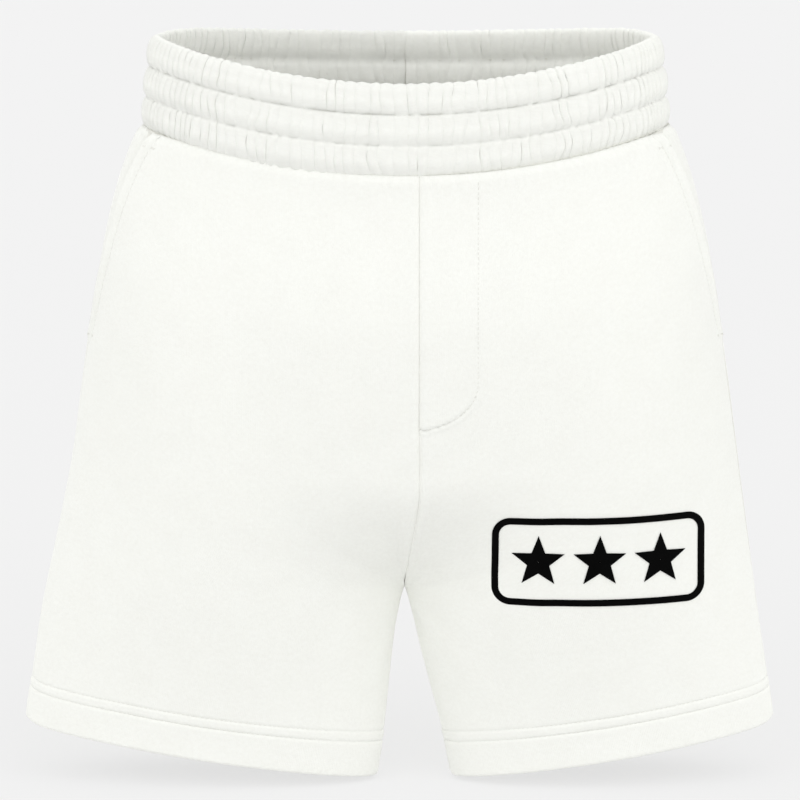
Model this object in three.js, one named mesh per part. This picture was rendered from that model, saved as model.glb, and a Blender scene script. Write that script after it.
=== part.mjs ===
// Fleece boxing shorts: four cut panels sewn into two legs, hung from a gathered three-tunnel waistband
// that is folded over a flat elastic. Side-seam pockets, a mock fly and twin-needle hems complete them.
// Units are millimetres. +Z is up, -Y is the front, +X is the wearer's left. The origin is the middle of
// the waist opening, level with the top of the band at the sides.

import * as THREE from 'three';
import { mergeVertices } from 'three/addons/utils/BufferGeometryUtils.js';

// ---- cloth and clearances ----
const clothThickness = 1.8;
const liningThickness = 0.9;
const elasticThickness = 1.5;
const layerGap = 0.3;
const backingGap = 1.3; // between a panel and a loose layer sewn behind it
const seamGap = 0.0008; // share of a half leg's girth left open along each sewn edge
const threadWidth = 0.9;
const threadThickness = 0.5;
const threadLift = 0.8; // between the cloth and a row of stitching
const levelClearance = 0.003; // share of the side length between layers that end one below the other

// ---- waistband ----
const waistHalfWidth = 171;
const waistFrontDepth = 74;
const waistBackDepth = 78;
const bandHeight = 58;
const tunnelCount = 3;
const tunnelPuff = 1.8;
const rimLean = 6; // how far the gathered rim draws in from the band's foot
const bandLedge = 3.5; // how far the panels' gathered tops stand out from the band at the sides
const bandLedgeDepth = 2; // and at the front and back
const frontRimDrop = 28; // the front rim hangs this much below the sides
const backRimRise = 4;
const casingEndGap = 0.0003; // share of the waist left open on each side of the centre-back join
const elasticEndGap = 0.0006;

// ---- body and legs ----
const sideLength = 399; // from the waist seam down to the hem's outer corner
const hemHalfWidth = 246;
const waistPinch = 16;
const pinchFade = 38;
const hemRise = 35; // the hem's outer corner is this much higher than its inner corner
const hemInnerOffset = 25; // from the middle to a hem's inner corner
const crotchRoundness = 8; // how fast the gap between the legs opens just under the crotch
const crotchDepth = 283; // from the front waist seam straight down to the crotch
const crotchRise = 27; // the level through the crotch climbs this much towards the sides
const frontSeamDrift = 9; // the front seam hangs to the wearer's left of the middle
const frontDepths = { waist: waistFrontDepth + bandLedgeDepth, hip: 88, crotch: 62, hem: 42 };
const backDepths = { waist: waistBackDepth + bandLedgeDepth, hip: 108, crotch: 74, hem: 48 };
const hipLevel = 0.27;
const sideFold = 0.7; // 0 is a round side, 1 is a pressed fold
const lensFullness = 0.9; // power of the sine across half a leg: below 1 is fuller
const upperRows = 8; // rows of corners above, along and below the curve to the crotch
const curveRows = 6;
const lowerRows = 4;
const rowCrowding = 1.5; // the upper rows draw towards the waist by this power

// ---- hems ----
const hemHeight = 29;
const hemStitchSpacing = 6.4;
const hemStep = 0.002; // share of the side length over which the hem's second layer begins

// ---- pockets ----
const pocketMouthLength = 136;
const pocketMouthInset = 0.17; // share of the half leg by which the mouth sits on the front
const pocketTopOffset = 4;
const pocketBagLength = 205;
const pocketBagWidth = 118;
const pocketBagClearance = 6; // between the foot of a bag and the side seam's allowance
const pocketRoundStart = 0.62; // share of the bag's length above its rounded foot
const pocketRounding = 0.75; // share of the squared width that the rounding takes off
const pocketPlyUnderlap = 0.012; // share of the half leg by which the plies pass under the mouth's edge
const pocketStitchInset = 6;
const mouthStitchMargin = 0.06; // share of the mouth left free at each end of its stitching
const bartackMargin = 0.03;
const bartackLength = 9;
const bartackWidth = 2.2;

// ---- mock fly ----
const flyWidth = 40;
const flyLength = 176;
const flyCurveHeight = 30;
const flyFacingMargin = 5;
const flyStitchTop = 3;
const flyStitchEnd = 2; // how far from the front seam the curve stops
const flyStraightShare = 0.6; // share of the row's stations on its straight part

// ---- seam allowances ----
const allowanceWidth = 8;
const allowanceThickness = 2.2;
const inseamShare = 0.985; // share of the half leg at which the allowance meets its seam
const sideSeamShare = 0.015;
const riseSeamEnd = 0.012; // levels between the crotch and the seam allowances that meet there
const inseamStart = 0.02;
const hemClearance = 0.006;

// ---- printed badge ----
const badgeCentreX = 126;
const badgeCentreZ = -337;
const badgeWidth = 140;
const badgeHeight = 60;
const badgeCorner = 12;
const badgeLine = 4.5;
const badgeLift = 0.8;
const badgeSteps = 56;
const badgeNudge = 0.002; // share of the outline walked to find its direction
const inkThickness = 0.3;
const starCount = 3;
const starRadius = 18;
const starWaist = 0.42;
const starSpacing = 40;

// ---- care label ----
const labelWidth = 26;
const labelHeight = 42;
const labelThickness = 0.4;
const labelDrop = 196; // below the waist seam
const labelTurn = 39; // degrees between the label at rest and straight across the leg
const labelSeamOffset = 9;

// ---- mesh density ----
const columnWidth = 19;
const edgeCrowding = 0.75;
const bandSegments = 48;
const ringStep = 12;
const curveSteps = 22;

// ---- levels: 0 at the waist seam, 1 at the hem ----
const crotchLevel = 0.705;
const riseCurveLevel = 0.5;

const { lerp, smoothstep, clamp } = THREE.MathUtils;
const sideRimZ = 0;
const sideSeamZ = sideRimZ - bandHeight;
const frontSeamZ = sideSeamZ - frontRimDrop;
const hemOuterZ = sideSeamZ - sideLength;
const hemInnerZ = hemOuterZ - hemRise;
const crotchZ = frontSeamZ - crotchDepth;
const hemSlope = hemRise / (hemHalfWidth - hemInnerOffset);
const hemTopLevel = 1 - hemHeight / sideLength;
const sideFlare = (hemHalfWidth - waistHalfWidth - bandLedge - waistPinch) / sideLength;

// ---- shape of the garment ----

// The rim's height where x is the given share of the half width.
function rimHeight(share, front) {
  const towardsMiddle = 1 - share * share;
  return sideRimZ + (front ? -frontRimDrop : backRimRise) * towardsMiddle;
}

function sideHeight(level) {
  const crotchSideZ = crotchZ + crotchRise;
  return level < crotchLevel
    ? lerp(sideSeamZ, crotchSideZ, level / crotchLevel)
    : lerp(crotchSideZ, hemOuterZ, (level - crotchLevel) / (1 - crotchLevel));
}

function halfWidth(level) {
  const z = sideHeight(level);
  const straight = hemHalfWidth - (z - hemOuterZ) * sideFlare;
  return straight - waistPinch * Math.exp((z - sideSeamZ) / pinchFade);
}

// A cubic through the four named depths, with level ends.
function halfDepth(level, depths) {
  const knots = [0, hipLevel, crotchLevel, 1];
  const values = [depths.waist, depths.hip, depths.crotch, depths.hem];
  const index = clamp(knots.findIndex((knot) => knot > level) - 1, 0, 2);
  const last = level >= 1 ? 2 : index;
  const slope = (k) => (k < 1 || k > 2 ? 0 : (values[k + 1] - values[k - 1]) / (knots[k + 1] - knots[k - 1]));
  const span = knots[last + 1] - knots[last];
  const t = (level - knots[last]) / span;
  const ease = t * t * (3 - 2 * t);
  const lead = t * (1 - t) * (1 - t) * span * slope(last);
  const trail = t * t * (t - 1) * span * slope(last + 1);
  return lerp(values[last], values[last + 1], ease) + lead + trail;
}

// How much of the full depth is left on the rise seam: all of it down to the curve, none at the crotch.
function riseDepth(level) {
  const t = clamp((level - riseCurveLevel) / (crotchLevel - riseCurveLevel), 0, 1);
  return Math.sqrt(1 - t * t);
}

function seamOffset(level, side, w) {
  const fade = 1 - smoothstep(level, riseCurveLevel, crotchLevel);
  return w < 0 ? side * frontSeamDrift * fade : 0;
}

// Half the gap between the legs: a rounded arch at the crotch that runs out to the hems' inner corners.
function legGap(level) {
  const t = Math.max(0, (level - crotchLevel) / (1 - crotchLevel));
  const straight = Math.sqrt(hemInnerOffset ** 2 - crotchRoundness ** 2);
  return Math.sqrt(crotchRoundness ** 2 * t + straight ** 2 * t * t);
}

// One point of the cloth. level runs down, w runs round the leg from the front inner edge (-1) by the side
// (0) to the back inner edge (1), and inset is the distance inside the outer face.
function clothPoint(side, level, w, inset = 0) {
  const q = Math.abs(w);
  const legShape = smoothstep(level, 0, crotchLevel);
  const rise = riseDepth(level);
  const roundX = 1 - Math.cos(q * Math.PI / 2);
  const lensX = sideFold * q + (1 - sideFold) * (1 - Math.cos(q * Math.PI)) / 2;
  const roundY = Math.sin(q * Math.PI / 2);
  const lensY = q < 0.5 ? Math.sin(q * Math.PI) ** lensFullness : 1;
  const lensSquared = Math.sin(q * Math.PI) ** (2 * lensFullness);
  const groove = q < 0.5 ? 1 : Math.sqrt(rise ** 2 + (1 - rise ** 2) * lensSquared);
  const outerX = halfWidth(level) - inset;
  const innerX = seamOffset(level, side, w);
  const closedX = outerX - (outerX - innerX) * lerp(roundX, lensX, legShape);
  const gap = (legGap(level) + (1 - rise) * inset) * (1 - closedX / outerX);
  const x = closedX + Math.hypot(closedX, gap) - Math.abs(closedX);
  const depth = halfDepth(level, w < 0 ? frontDepths : backDepths) - inset;
  const y = Math.sign(w) * depth * lerp(roundY, lensY, legShape) * groove;
  const seamZ = rimHeight(x / outerX, w < 0) - bandHeight;
  const crotchX = clamp(x / halfWidth(crotchLevel), 0, 1);
  const middleZ = crotchZ + inset * (1 - crotchX) + crotchRise * crotchX;
  const hemZ = hemInnerZ + (x - hemInnerOffset) * hemSlope;
  const z = level < crotchLevel
    ? lerp(seamZ, middleZ, level / crotchLevel)
    : lerp(middleZ, hemZ, (level - crotchLevel) / (1 - crotchLevel));
  return new THREE.Vector3(side * x, y, z);
}

function bisect(low, high, tooLow) {
  for (let i = 0; i < 36; i += 1) {
    const middle = (low + high) / 2;
    if (tooLow(middle)) low = middle;
    else high = middle;
  }
  return (low + high) / 2;
}

// The level at which the cloth at w has height z.
function levelAt(side, w, z) {
  return bisect(0, 1, (level) => clothPoint(side, level, w).z > z);
}

// The w that lies a given distance along the cloth from w, towards the inner edge on the front.
function stepAcross(side, level, w, distance) {
  const direction = Math.sign(distance);
  const step = 0.01;
  let travelled = 0;
  let at = w;
  while (travelled < Math.abs(distance)) {
    const length = clothPoint(side, level, at).distanceTo(clothPoint(side, level, at + direction * step));
    const share = Math.min(1, (Math.abs(distance) - travelled) / length);
    at += direction * step * share;
    travelled += Math.max(length * share, 1e-6);
  }
  return at;
}

// ---- solid builders ----

function closedMesh(name, positions, triangles, material) {
  const geometry = new THREE.BufferGeometry();
  geometry.setAttribute('position', new THREE.Float32BufferAttribute(positions.flatMap((p) => p.toArray()), 3));
  let volume = 0;
  for (const [a, b, c] of triangles) {
    volume += positions[a].dot(positions[b].clone().cross(positions[c]));
  }
  const outward = volume > 0 ? triangles : triangles.map(([a, b, c]) => [a, c, b]);
  geometry.setIndex(outward.flat());
  geometry.computeVertexNormals();
  const mesh = new THREE.Mesh(geometry, material);
  mesh.name = name;
  return mesh;
}

// An end cap for a strip whose two long sides have matching corners: rungs join each pair.
function ladderCap(section) {
  const triangles = [];
  const last = section.length - 1;
  for (let j = 0; j < last - j - 1; j += 1) {
    triangles.push([j, j + 1, last - j - 1], [j, last - j - 1, last - j]);
  }
  return triangles;
}

// An end cap for a flat outline of any shape.
function outlineCap(section) {
  const triangles = THREE.ShapeUtils.triangulateShape(section, []);
  const clockwise = THREE.ShapeUtils.isClockWise(section);
  return clockwise ? triangles.map(([a, b, c]) => [a, c, b]) : triangles;
}

// Carries a closed section along a row of stations. place(station, corner) gives each point, and the two
// ends are capped unless the row closes on itself.
function sweptSolid(name, section, stations, place, closed, material, capOf = ladderCap) {
  const positions = [];
  for (const station of stations) {
    for (const corner of section) {
      positions.push(place(station, corner));
    }
  }
  const triangles = [];
  const width = section.length;
  const rows = closed ? stations.length : stations.length - 1;
  for (let i = 0; i < rows; i += 1) {
    const next = (i + 1) % stations.length;
    for (let j = 0; j < width; j += 1) {
      const k = (j + 1) % width;
      triangles.push([i * width + j, i * width + k, next * width + k]);
      triangles.push([i * width + j, next * width + k, next * width + j]);
    }
  }
  if (!closed) {
    const base = (stations.length - 1) * width;
    for (const [a, b, c] of capOf(section)) {
      triangles.push([a, c, b], [base + a, base + b, base + c]);
    }
  }
  return closedMesh(name, positions, triangles, material);
}

function fabric(color, roughness = 0.95) {
  return new THREE.MeshStandardMaterial({ color, roughness, metalness: 0 });
}

const fleece = fabric(0xf4f4ef);
const lining = fabric(0xefefe9);
const overlock = fabric(0xe9e9e2);
const thread = fabric(0xf0f0ea, 0.7);
const elastic = fabric(0xe6e6e0, 0.8);
const ink = fabric(0x0b0b0b, 0.6);
const labelTape = fabric(0xf7f7f5, 0.5);

// A rectangle in (across, depth), cut into columns so that it can follow the cloth. The columns crowd
// towards the two edges, where the cloth folds, by the given share.
function stripSection(columns, crowding = 0) {
  const outer = [];
  const inner = [];
  for (let i = 0; i <= columns; i += 1) {
    const even = i / columns;
    const across = lerp(even, (1 - Math.cos(even * Math.PI)) / 2, crowding);
    outer.push(new THREE.Vector2(across, 0));
    inner.unshift(new THREE.Vector2(across, 1));
  }
  return [...outer, ...inner];
}

// A layer of cloth on one leg between two levels, from edge(level)[0] to edge(level)[1] round the leg and
// between two insets, where the second may change with the level.
function clothLayer(name, side, levels, edges, outerInset, innerInset, columns, material, crowding = 0) {
  const place = (level, corner) => {
    const [from, to] = edges(level);
    const inset = lerp(outerInset, innerInset(level), corner.y);
    return clothPoint(side, level, lerp(from, to, corner.x), inset);
  };
  return sweptSolid(name, stripSection(columns, crowding), levels, place, false, material);
}

// A flat thread on a surface. place(t, lift) gives the thread's middle at t, lift outside the cloth.
function threadLine(name, steps, place, closed, width, material) {
  const stations = Array.from({ length: closed ? steps : steps + 1 }, (_, i) => i / steps);
  const height = threadThickness / 2;
  const lift = threadLift + height;
  const section = [[-1, -1], [1, -1], [1, 1], [-1, 1]].map(([x, y]) => new THREE.Vector2(x, y));
  const nudge = 0.25 / steps;
  const position = (t, corner) => {
    const before = place(closed ? t - nudge : Math.max(0, t - nudge), lift);
    const after = place(closed ? t + nudge : Math.min(1, t + nudge), lift);
    const along = after.sub(before).normalize();
    const middle = place(t, lift);
    const outward = place(t, lift + 1).sub(middle).normalize();
    const across = along.cross(outward).normalize();
    return middle.addScaledVector(across, corner.x * width / 2).addScaledVector(outward, corner.y * height);
  };
  return sweptSolid(name, section, stations, position, closed, material);
}

// ---- panels ----

function panelLevels() {
  const levels = [];
  for (let i = 0; i < upperRows; i += 1) {
    levels.push(riseCurveLevel * (i / upperRows) ** rowCrowding);
  }
  for (let i = 0; i <= curveRows; i += 1) {
    const t = Math.sin(i / curveRows * Math.PI / 2);
    levels.push(lerp(riseCurveLevel, crotchLevel, t));
  }
  for (let i = 1; i <= lowerRows; i += 1) {
    levels.push(lerp(crotchLevel, hemTopLevel, i / lowerRows));
  }
  levels.push(hemTopLevel + hemStep, 1);
  return levels;
}

const pocketBottomZ = sideSeamZ - pocketTopOffset - pocketMouthLength;

// The side seam: on the fold of the leg, but forward of it along the pocket mouth.
function sideSeamAt(level) {
  const z = sideHeight(level);
  const share = clamp((z - pocketBottomZ) / (sideSeamZ - pocketBottomZ), 0, 1);
  return -pocketMouthInset * share;
}

function hemThickness(level) {
  return level > hemTopLevel ? 2 * clothThickness : clothThickness;
}

function panel(name, side, front) {
  const edges = (level) => {
    const seam = sideSeamAt(level);
    return front ? [-1 + seamGap, seam - seamGap] : [seam + seamGap, 1 - seamGap];
  };
  const columns = Math.ceil(hemHalfWidth / columnWidth);
  return clothLayer(name, side, panelLevels(), edges, 0, hemThickness, columns, fleece, edgeCrowding);
}

// ---- waistband ----

function bandFoot(height) {
  const share = height / bandHeight;
  return rimLean * share * share;
}

// A point of the band: turn runs round the waist from the back middle, height up from the waist seam, and
// inset inwards from the outer face.
function bandPoint(turn, height, inset) {
  const angle = (turn - 0.25) * 2 * Math.PI;
  const lean = bandFoot(height) + inset;
  const towardsBack = -Math.sin(angle);
  const depth = (towardsBack > 0 ? waistBackDepth : waistFrontDepth) - lean;
  const x = (waistHalfWidth - lean) * Math.cos(angle);
  const seam = rimHeight(Math.cos(angle), towardsBack < 0) - bandHeight;
  return new THREE.Vector3(x, depth * towardsBack, seam + height);
}

function bandSection() {
  const corners = [];
  const tunnel = bandHeight / tunnelCount;
  const stack = 2 * clothThickness + elasticThickness + 2 * layerGap;
  const cavityTop = bandHeight - clothThickness - layerGap;
  for (let i = 0; i < tunnelCount; i += 1) {
    corners.push(new THREE.Vector2(0, i * tunnel));
    corners.push(new THREE.Vector2(-tunnelPuff, (i + 0.5) * tunnel));
  }
  corners[0].y = layerGap;
  corners.push(new THREE.Vector2(0, bandHeight - clothThickness));
  corners.push(new THREE.Vector2(stack / 2, bandHeight));
  corners.push(new THREE.Vector2(stack, bandHeight - clothThickness));
  for (let i = tunnelCount - 1; i >= 0; i -= 1) {
    corners.push(new THREE.Vector2(stack + tunnelPuff, (i + 0.5) * tunnel));
    corners.push(new THREE.Vector2(stack, Math.max(layerGap, i * tunnel)));
  }
  corners.push(new THREE.Vector2(stack - clothThickness, layerGap));
  corners.push(new THREE.Vector2(stack - clothThickness, cavityTop));
  corners.push(new THREE.Vector2(clothThickness, cavityTop));
  corners.push(new THREE.Vector2(clothThickness, layerGap));
  return corners;
}

// The casing and the elastic are strips whose ends meet at the centre back.
function bandStations(openShare) {
  const count = bandSegments;
  return Array.from({ length: count + 1 }, (_, i) => openShare + (1 - 2 * openShare) * i / count);
}

function waistbandCasing() {
  const place = (turn, corner) => bandPoint(turn, corner.y, corner.x);
  const section = bandSection();
  return sweptSolid('waistband_casing', section, bandStations(casingEndGap), place, false, fleece, outlineCap);
}

function waistElastic() {
  const outer = clothThickness + layerGap;
  const inner = outer + elasticThickness;
  const top = bandHeight - clothThickness - 2 * layerGap;
  const section = [[outer, 1], [inner, 1], [inner, top], [outer, top]].map(([x, y]) => new THREE.Vector2(x, y));
  const place = (turn, corner) => bandPoint(turn, corner.y, corner.x);
  return sweptSolid('waist_elastic', section, bandStations(elasticEndGap), place, false, elastic);
}

function bandStitching(name, height) {
  const place = (turn, lift) => bandPoint(turn, height, -lift);
  return threadLine(name, bandSegments, place, true, threadWidth, thread);
}

// The gathered panels and the casing are overlocked together just under the band.
function waistSeam() {
  const outer = clothThickness + backingGap;
  const inner = outer + allowanceThickness;
  const depth = allowanceWidth / sideLength;
  const start = layerGap / sideLength;
  const section = [[0, outer], [1, outer], [1, inner], [0, inner]].map(([x, y]) => new THREE.Vector2(x, y));
  const stations = Array.from({ length: bandSegments }, (_, i) => i / bandSegments);
  const place = (turn, corner) => {
    const side = turn < 0.5 ? 1 : -1;
    const w = side > 0 ? 4 * turn - 1 : 3 - 4 * turn;
    return clothPoint(side, start + depth * corner.x, w, corner.y);
  };
  return sweptSolid('waist_seam_overlock', section, stations, place, true, overlock);
}

// ---- seam allowances on the inside ----

// An overlocked allowance lies along a seam, from the seam edge w(level) towards the given direction.
function seamAllowance(name, side, levels, seam, direction) {
  const outer = clothThickness + backingGap;
  const inner = () => outer + allowanceThickness;
  const edges = (level) => {
    const edge = seam(level);
    return [edge, stepAcross(side, level, edge, direction * allowanceWidth)];
  };
  return clothLayer(name, side, levels, edges, outer, inner, 1, overlock);
}

function levelsBetween(from, to, count) {
  return Array.from({ length: count + 1 }, (_, i) => lerp(from, to, i / count));
}

const allowanceTop = (2 * layerGap + allowanceWidth) / sideLength + levelClearance;
const pocketBagBottom = (pocketBagLength + pocketBagClearance) / sideLength;

function riseSeam(name, side, front) {
  const direction = front ? 1 : -1;
  const start = front ? flyLevel(flyLength) + 2 * layerGap / sideLength : allowanceTop;
  const levels = levelsBetween(start, crotchLevel - riseSeamEnd, 14);
  const seam = () => -direction * (1 - 2 * seamGap);
  return seamAllowance(name, side, levels, seam, direction);
}

function legSeams(side, word) {
  const inseamLevels = levelsBetween(crotchLevel + inseamStart, hemTopLevel - hemClearance, 6);
  const sideLevels = levelsBetween(pocketBagBottom, hemTopLevel - hemClearance, 7);
  return [
    seamAllowance(`${word}_inseam_overlock`, side, inseamLevels, () => inseamShare, -1),
    seamAllowance(`${word}_side_seam_overlock`, side, sideLevels, () => sideSeamShare, 1),
  ];
}

// ---- hems ----

function hemStitch(name, side, heightAboveHem) {
  const level = 1 - heightAboveHem / sideLength;
  const place = (t, lift) => clothPoint(side, level, 1 - 2 * ((t + 1) % 1), -lift);
  const segments = 2 * Math.ceil(hemHalfWidth / ringStep);
  return threadLine(name, segments, place, true, threadWidth, thread);
}

// ---- pockets ----

function pocketPly(name, side, outerInset) {
  const top = allowanceTop;
  const bottom = top + pocketBagLength / sideLength;
  const roundStart = lerp(top, bottom, pocketRoundStart);
  const edges = (level) => {
    const t = clamp((level - roundStart) / (bottom - roundStart), 0, 1);
    const width = pocketBagWidth * Math.sqrt(1 - pocketRounding * t * t);
    const from = sideSeamAt(level) - pocketPlyUnderlap;
    return [from, stepAcross(side, level, from, -width)];
  };
  const inner = () => outerInset + liningThickness;
  const columns = Math.ceil(pocketBagWidth / columnWidth);
  return clothLayer(name, side, levelsBetween(top, bottom, 12), edges, outerInset, inner, columns, lining);
}

function pocketMouthPoint(side, share, inward, lift) {
  const topZ = sideSeamZ - pocketTopOffset;
  const z = lerp(topZ, pocketBottomZ, share);
  const level = bisect(0, crotchLevel, (trial) => clothPoint(side, trial, sideSeamAt(trial)).z > z);
  return clothPoint(side, level, stepAcross(side, level, sideSeamAt(level), -inward), -lift);
}

function pocket(side, word) {
  const frontInset = 2 * (clothThickness + backingGap);
  const backInset = frontInset + liningThickness + backingGap;
  const alongMouth = (t) => lerp(mouthStitchMargin, 1 - mouthStitchMargin, t);
  const mouthStitch = (t, lift) => pocketMouthPoint(side, alongMouth(t), pocketStitchInset, lift);
  const pieces = [
    pocketPly(`${word}_pocket_bag_front`, side, frontInset),
    pocketPly(`${word}_pocket_bag_back`, side, backInset),
    threadLine(`${word}_pocket_mouth_stitch`, curveSteps, mouthStitch, false, threadWidth, thread),
  ];
  for (const [place, share] of [['upper', bartackMargin], ['lower', 1 - bartackMargin]]) {
    const tack = (t, lift) => pocketMouthPoint(side, share, 1 + t * bartackLength, lift);
    pieces.push(threadLine(`${word}_pocket_bartack_${place}`, 3, tack, false, bartackWidth, thread));
  }
  return pieces;
}

// ---- mock fly ----

// The fly runs down beside the front seam and curves in to meet it.
function flyEdge(distanceDown) {
  const curveStart = flyLength - flyCurveHeight;
  const t = clamp((distanceDown - curveStart) / flyCurveHeight, 0, 1);
  return flyWidth * Math.sqrt(1 - t * t);
}

function flyLevel(distanceDown) {
  return distanceDown / crotchDepth * crotchLevel;
}

function flyFacing() {
  const outer = clothThickness + backingGap;
  const inner = () => outer + clothThickness;
  const edges = (level) => {
    const down = level / crotchLevel * crotchDepth;
    const from = -1 + 2 * seamGap;
    const width = Math.max(allowanceWidth, flyEdge(down - flyFacingMargin)) + flyFacingMargin;
    return [from, stepAcross(1, level, from, width)];
  };
  const levels = levelsBetween(allowanceTop, flyLevel(flyLength), 10);
  return clothLayer('fly_facing', 1, levels, edges, outer, inner, 3, fleece);
}

function flyStitching() {
  const curveStart = flyLength - flyCurveHeight;
  const place = (t, lift) => {
    const turning = clamp((t - flyStraightShare) / (1 - flyStraightShare), 0, 1) * Math.PI / 2;
    const straight = lerp(flyStitchTop, curveStart, Math.min(1, t / flyStraightShare));
    const down = straight + flyCurveHeight * Math.sin(turning);
    const across = Math.max(flyStitchEnd, flyWidth * Math.cos(turning));
    const level = flyLevel(down);
    return clothPoint(1, level, stepAcross(1, level, -1, across), -lift);
  };
  return threadLine('fly_stitching', curveSteps, place, false, threadWidth, thread);
}

// ---- printed badge ----

// The point of the wearer's left front that has the given x and z.
function frontPointAt(x, z, lift) {
  const w = bisect(-1, 0, (trial) => clothPoint(1, levelAt(1, trial, z), trial).x < x);
  return clothPoint(1, levelAt(1, w, z), w, -lift);
}

// A rounded rectangle walked at an even pace, with t from 0 to 1.
function badgeOutline(t) {
  const shape = new THREE.Shape();
  const x = badgeWidth / 2 - badgeLine / 2;
  const y = badgeHeight / 2 - badgeLine / 2;
  shape.moveTo(-x + badgeCorner, -y);
  shape.lineTo(x - badgeCorner, -y);
  shape.absarc(x - badgeCorner, -y + badgeCorner, badgeCorner, -Math.PI / 2, 0, false);
  shape.absarc(x - badgeCorner, y - badgeCorner, badgeCorner, 0, Math.PI / 2, false);
  shape.absarc(-x + badgeCorner, y - badgeCorner, badgeCorner, Math.PI / 2, Math.PI, false);
  shape.absarc(-x + badgeCorner, -y + badgeCorner, badgeCorner, Math.PI, Math.PI * 1.5, false);
  return shape.getPointAt((t + 1) % 1);
}

function badgeFrame() {
  const section = [[-1, 0], [1, 0], [1, 1], [-1, 1]].map(([x, y]) => new THREE.Vector2(x, y));
  const stations = Array.from({ length: badgeSteps }, (_, i) => i / badgeSteps);
  const place = (t, corner) => {
    const ahead = badgeOutline(t + badgeNudge).clone();
    const along = ahead.sub(badgeOutline(t - badgeNudge)).normalize();
    const point = badgeOutline(t).clone();
    point.x += along.y * corner.x * badgeLine / 2;
    point.y -= along.x * corner.x * badgeLine / 2;
    const lift = badgeLift + corner.y * inkThickness;
    return frontPointAt(badgeCentreX + point.x, badgeCentreZ + point.y, lift);
  };
  return sweptSolid('badge_frame_print', section, stations, place, true, ink);
}

function badgeStar(index) {
  const shape = new THREE.Shape();
  for (let i = 0; i < 10; i += 1) {
    const radius = i % 2 === 0 ? starRadius : starRadius * starWaist;
    const angle = Math.PI / 2 + i * Math.PI / 5;
    const move = i === 0 ? 'moveTo' : 'lineTo';
    shape[move](radius * Math.cos(angle), radius * Math.sin(angle));
  }
  const solid = new THREE.ExtrudeGeometry(shape, { depth: inkThickness, bevelEnabled: false });
  solid.deleteAttribute('normal');
  solid.deleteAttribute('uv');
  const merged = mergeVertices(solid);
  const centreX = badgeCentreX + (index - (starCount - 1) / 2) * starSpacing;
  const position = merged.getAttribute('position');
  for (let i = 0; i < position.count; i += 1) {
    const lift = badgeLift + position.getZ(i);
    const point = frontPointAt(centreX + position.getX(i), badgeCentreZ + position.getY(i), lift);
    position.setXYZ(i, point.x, point.y, point.z);
  }
  merged.computeVertexNormals();
  const mesh = new THREE.Mesh(merged, ink);
  mesh.name = `badge_star_print_${index + 1}`;
  return mesh;
}

// ---- care label ----

// A blank tape sewn by one short edge into the wearer's left side seam, free to flip inside the leg.
function careLabel() {
  const level = labelDrop / sideLength;
  const seam = clothPoint(1, level, 0, labelSeamOffset);
  const below = clothPoint(1, level + labelHeight / sideLength, 0, labelSeamOffset);
  const lean = Math.atan2(below.x - seam.x, seam.z - below.z);
  const plate = new THREE.BoxGeometry(labelWidth, labelThickness, labelHeight);
  plate.translate(-labelWidth / 2, 0, -labelHeight / 2);
  const label = new THREE.Mesh(plate, labelTape);
  label.name = 'care_label';
  label.rotation.z = -THREE.MathUtils.degToRad(labelTurn);
  const hinge = new THREE.Group();
  hinge.position.copy(seam);
  hinge.rotation.y = -lean;
  hinge.add(label);
  return hinge;
}

// ---- assembly ----

const shorts = new THREE.Group();
for (const [word, side] of [['left', 1], ['right', -1]]) {
  shorts.add(panel(`${word}_front_panel`, side, true));
  shorts.add(panel(`${word}_back_panel`, side, false));
  shorts.add(...legSeams(side, word));
  shorts.add(...pocket(side, word));
  shorts.add(hemStitch(`${word}_hem_stitch_lower`, side, hemHeight - hemStitchSpacing));
  shorts.add(hemStitch(`${word}_hem_stitch_upper`, side, hemHeight));
}
shorts.add(waistbandCasing());
shorts.add(waistElastic());
for (let i = 1; i < tunnelCount; i += 1) {
  shorts.add(bandStitching(`waistband_stitching_${i}`, i * bandHeight / tunnelCount));
}
shorts.add(waistSeam());
shorts.add(riseSeam('front_rise_overlock', 1, true));
shorts.add(riseSeam('back_rise_overlock', 1, false));
shorts.add(flyFacing());
shorts.add(flyStitching());
shorts.add(badgeFrame());
for (let i = 0; i < starCount; i += 1) {
  shorts.add(badgeStar(i));
}
shorts.add(careLabel());

export default shorts;
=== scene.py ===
"""Off-white fleece boxing shorts: gathered waistband, side pockets, mock fly and a star print."""

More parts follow.
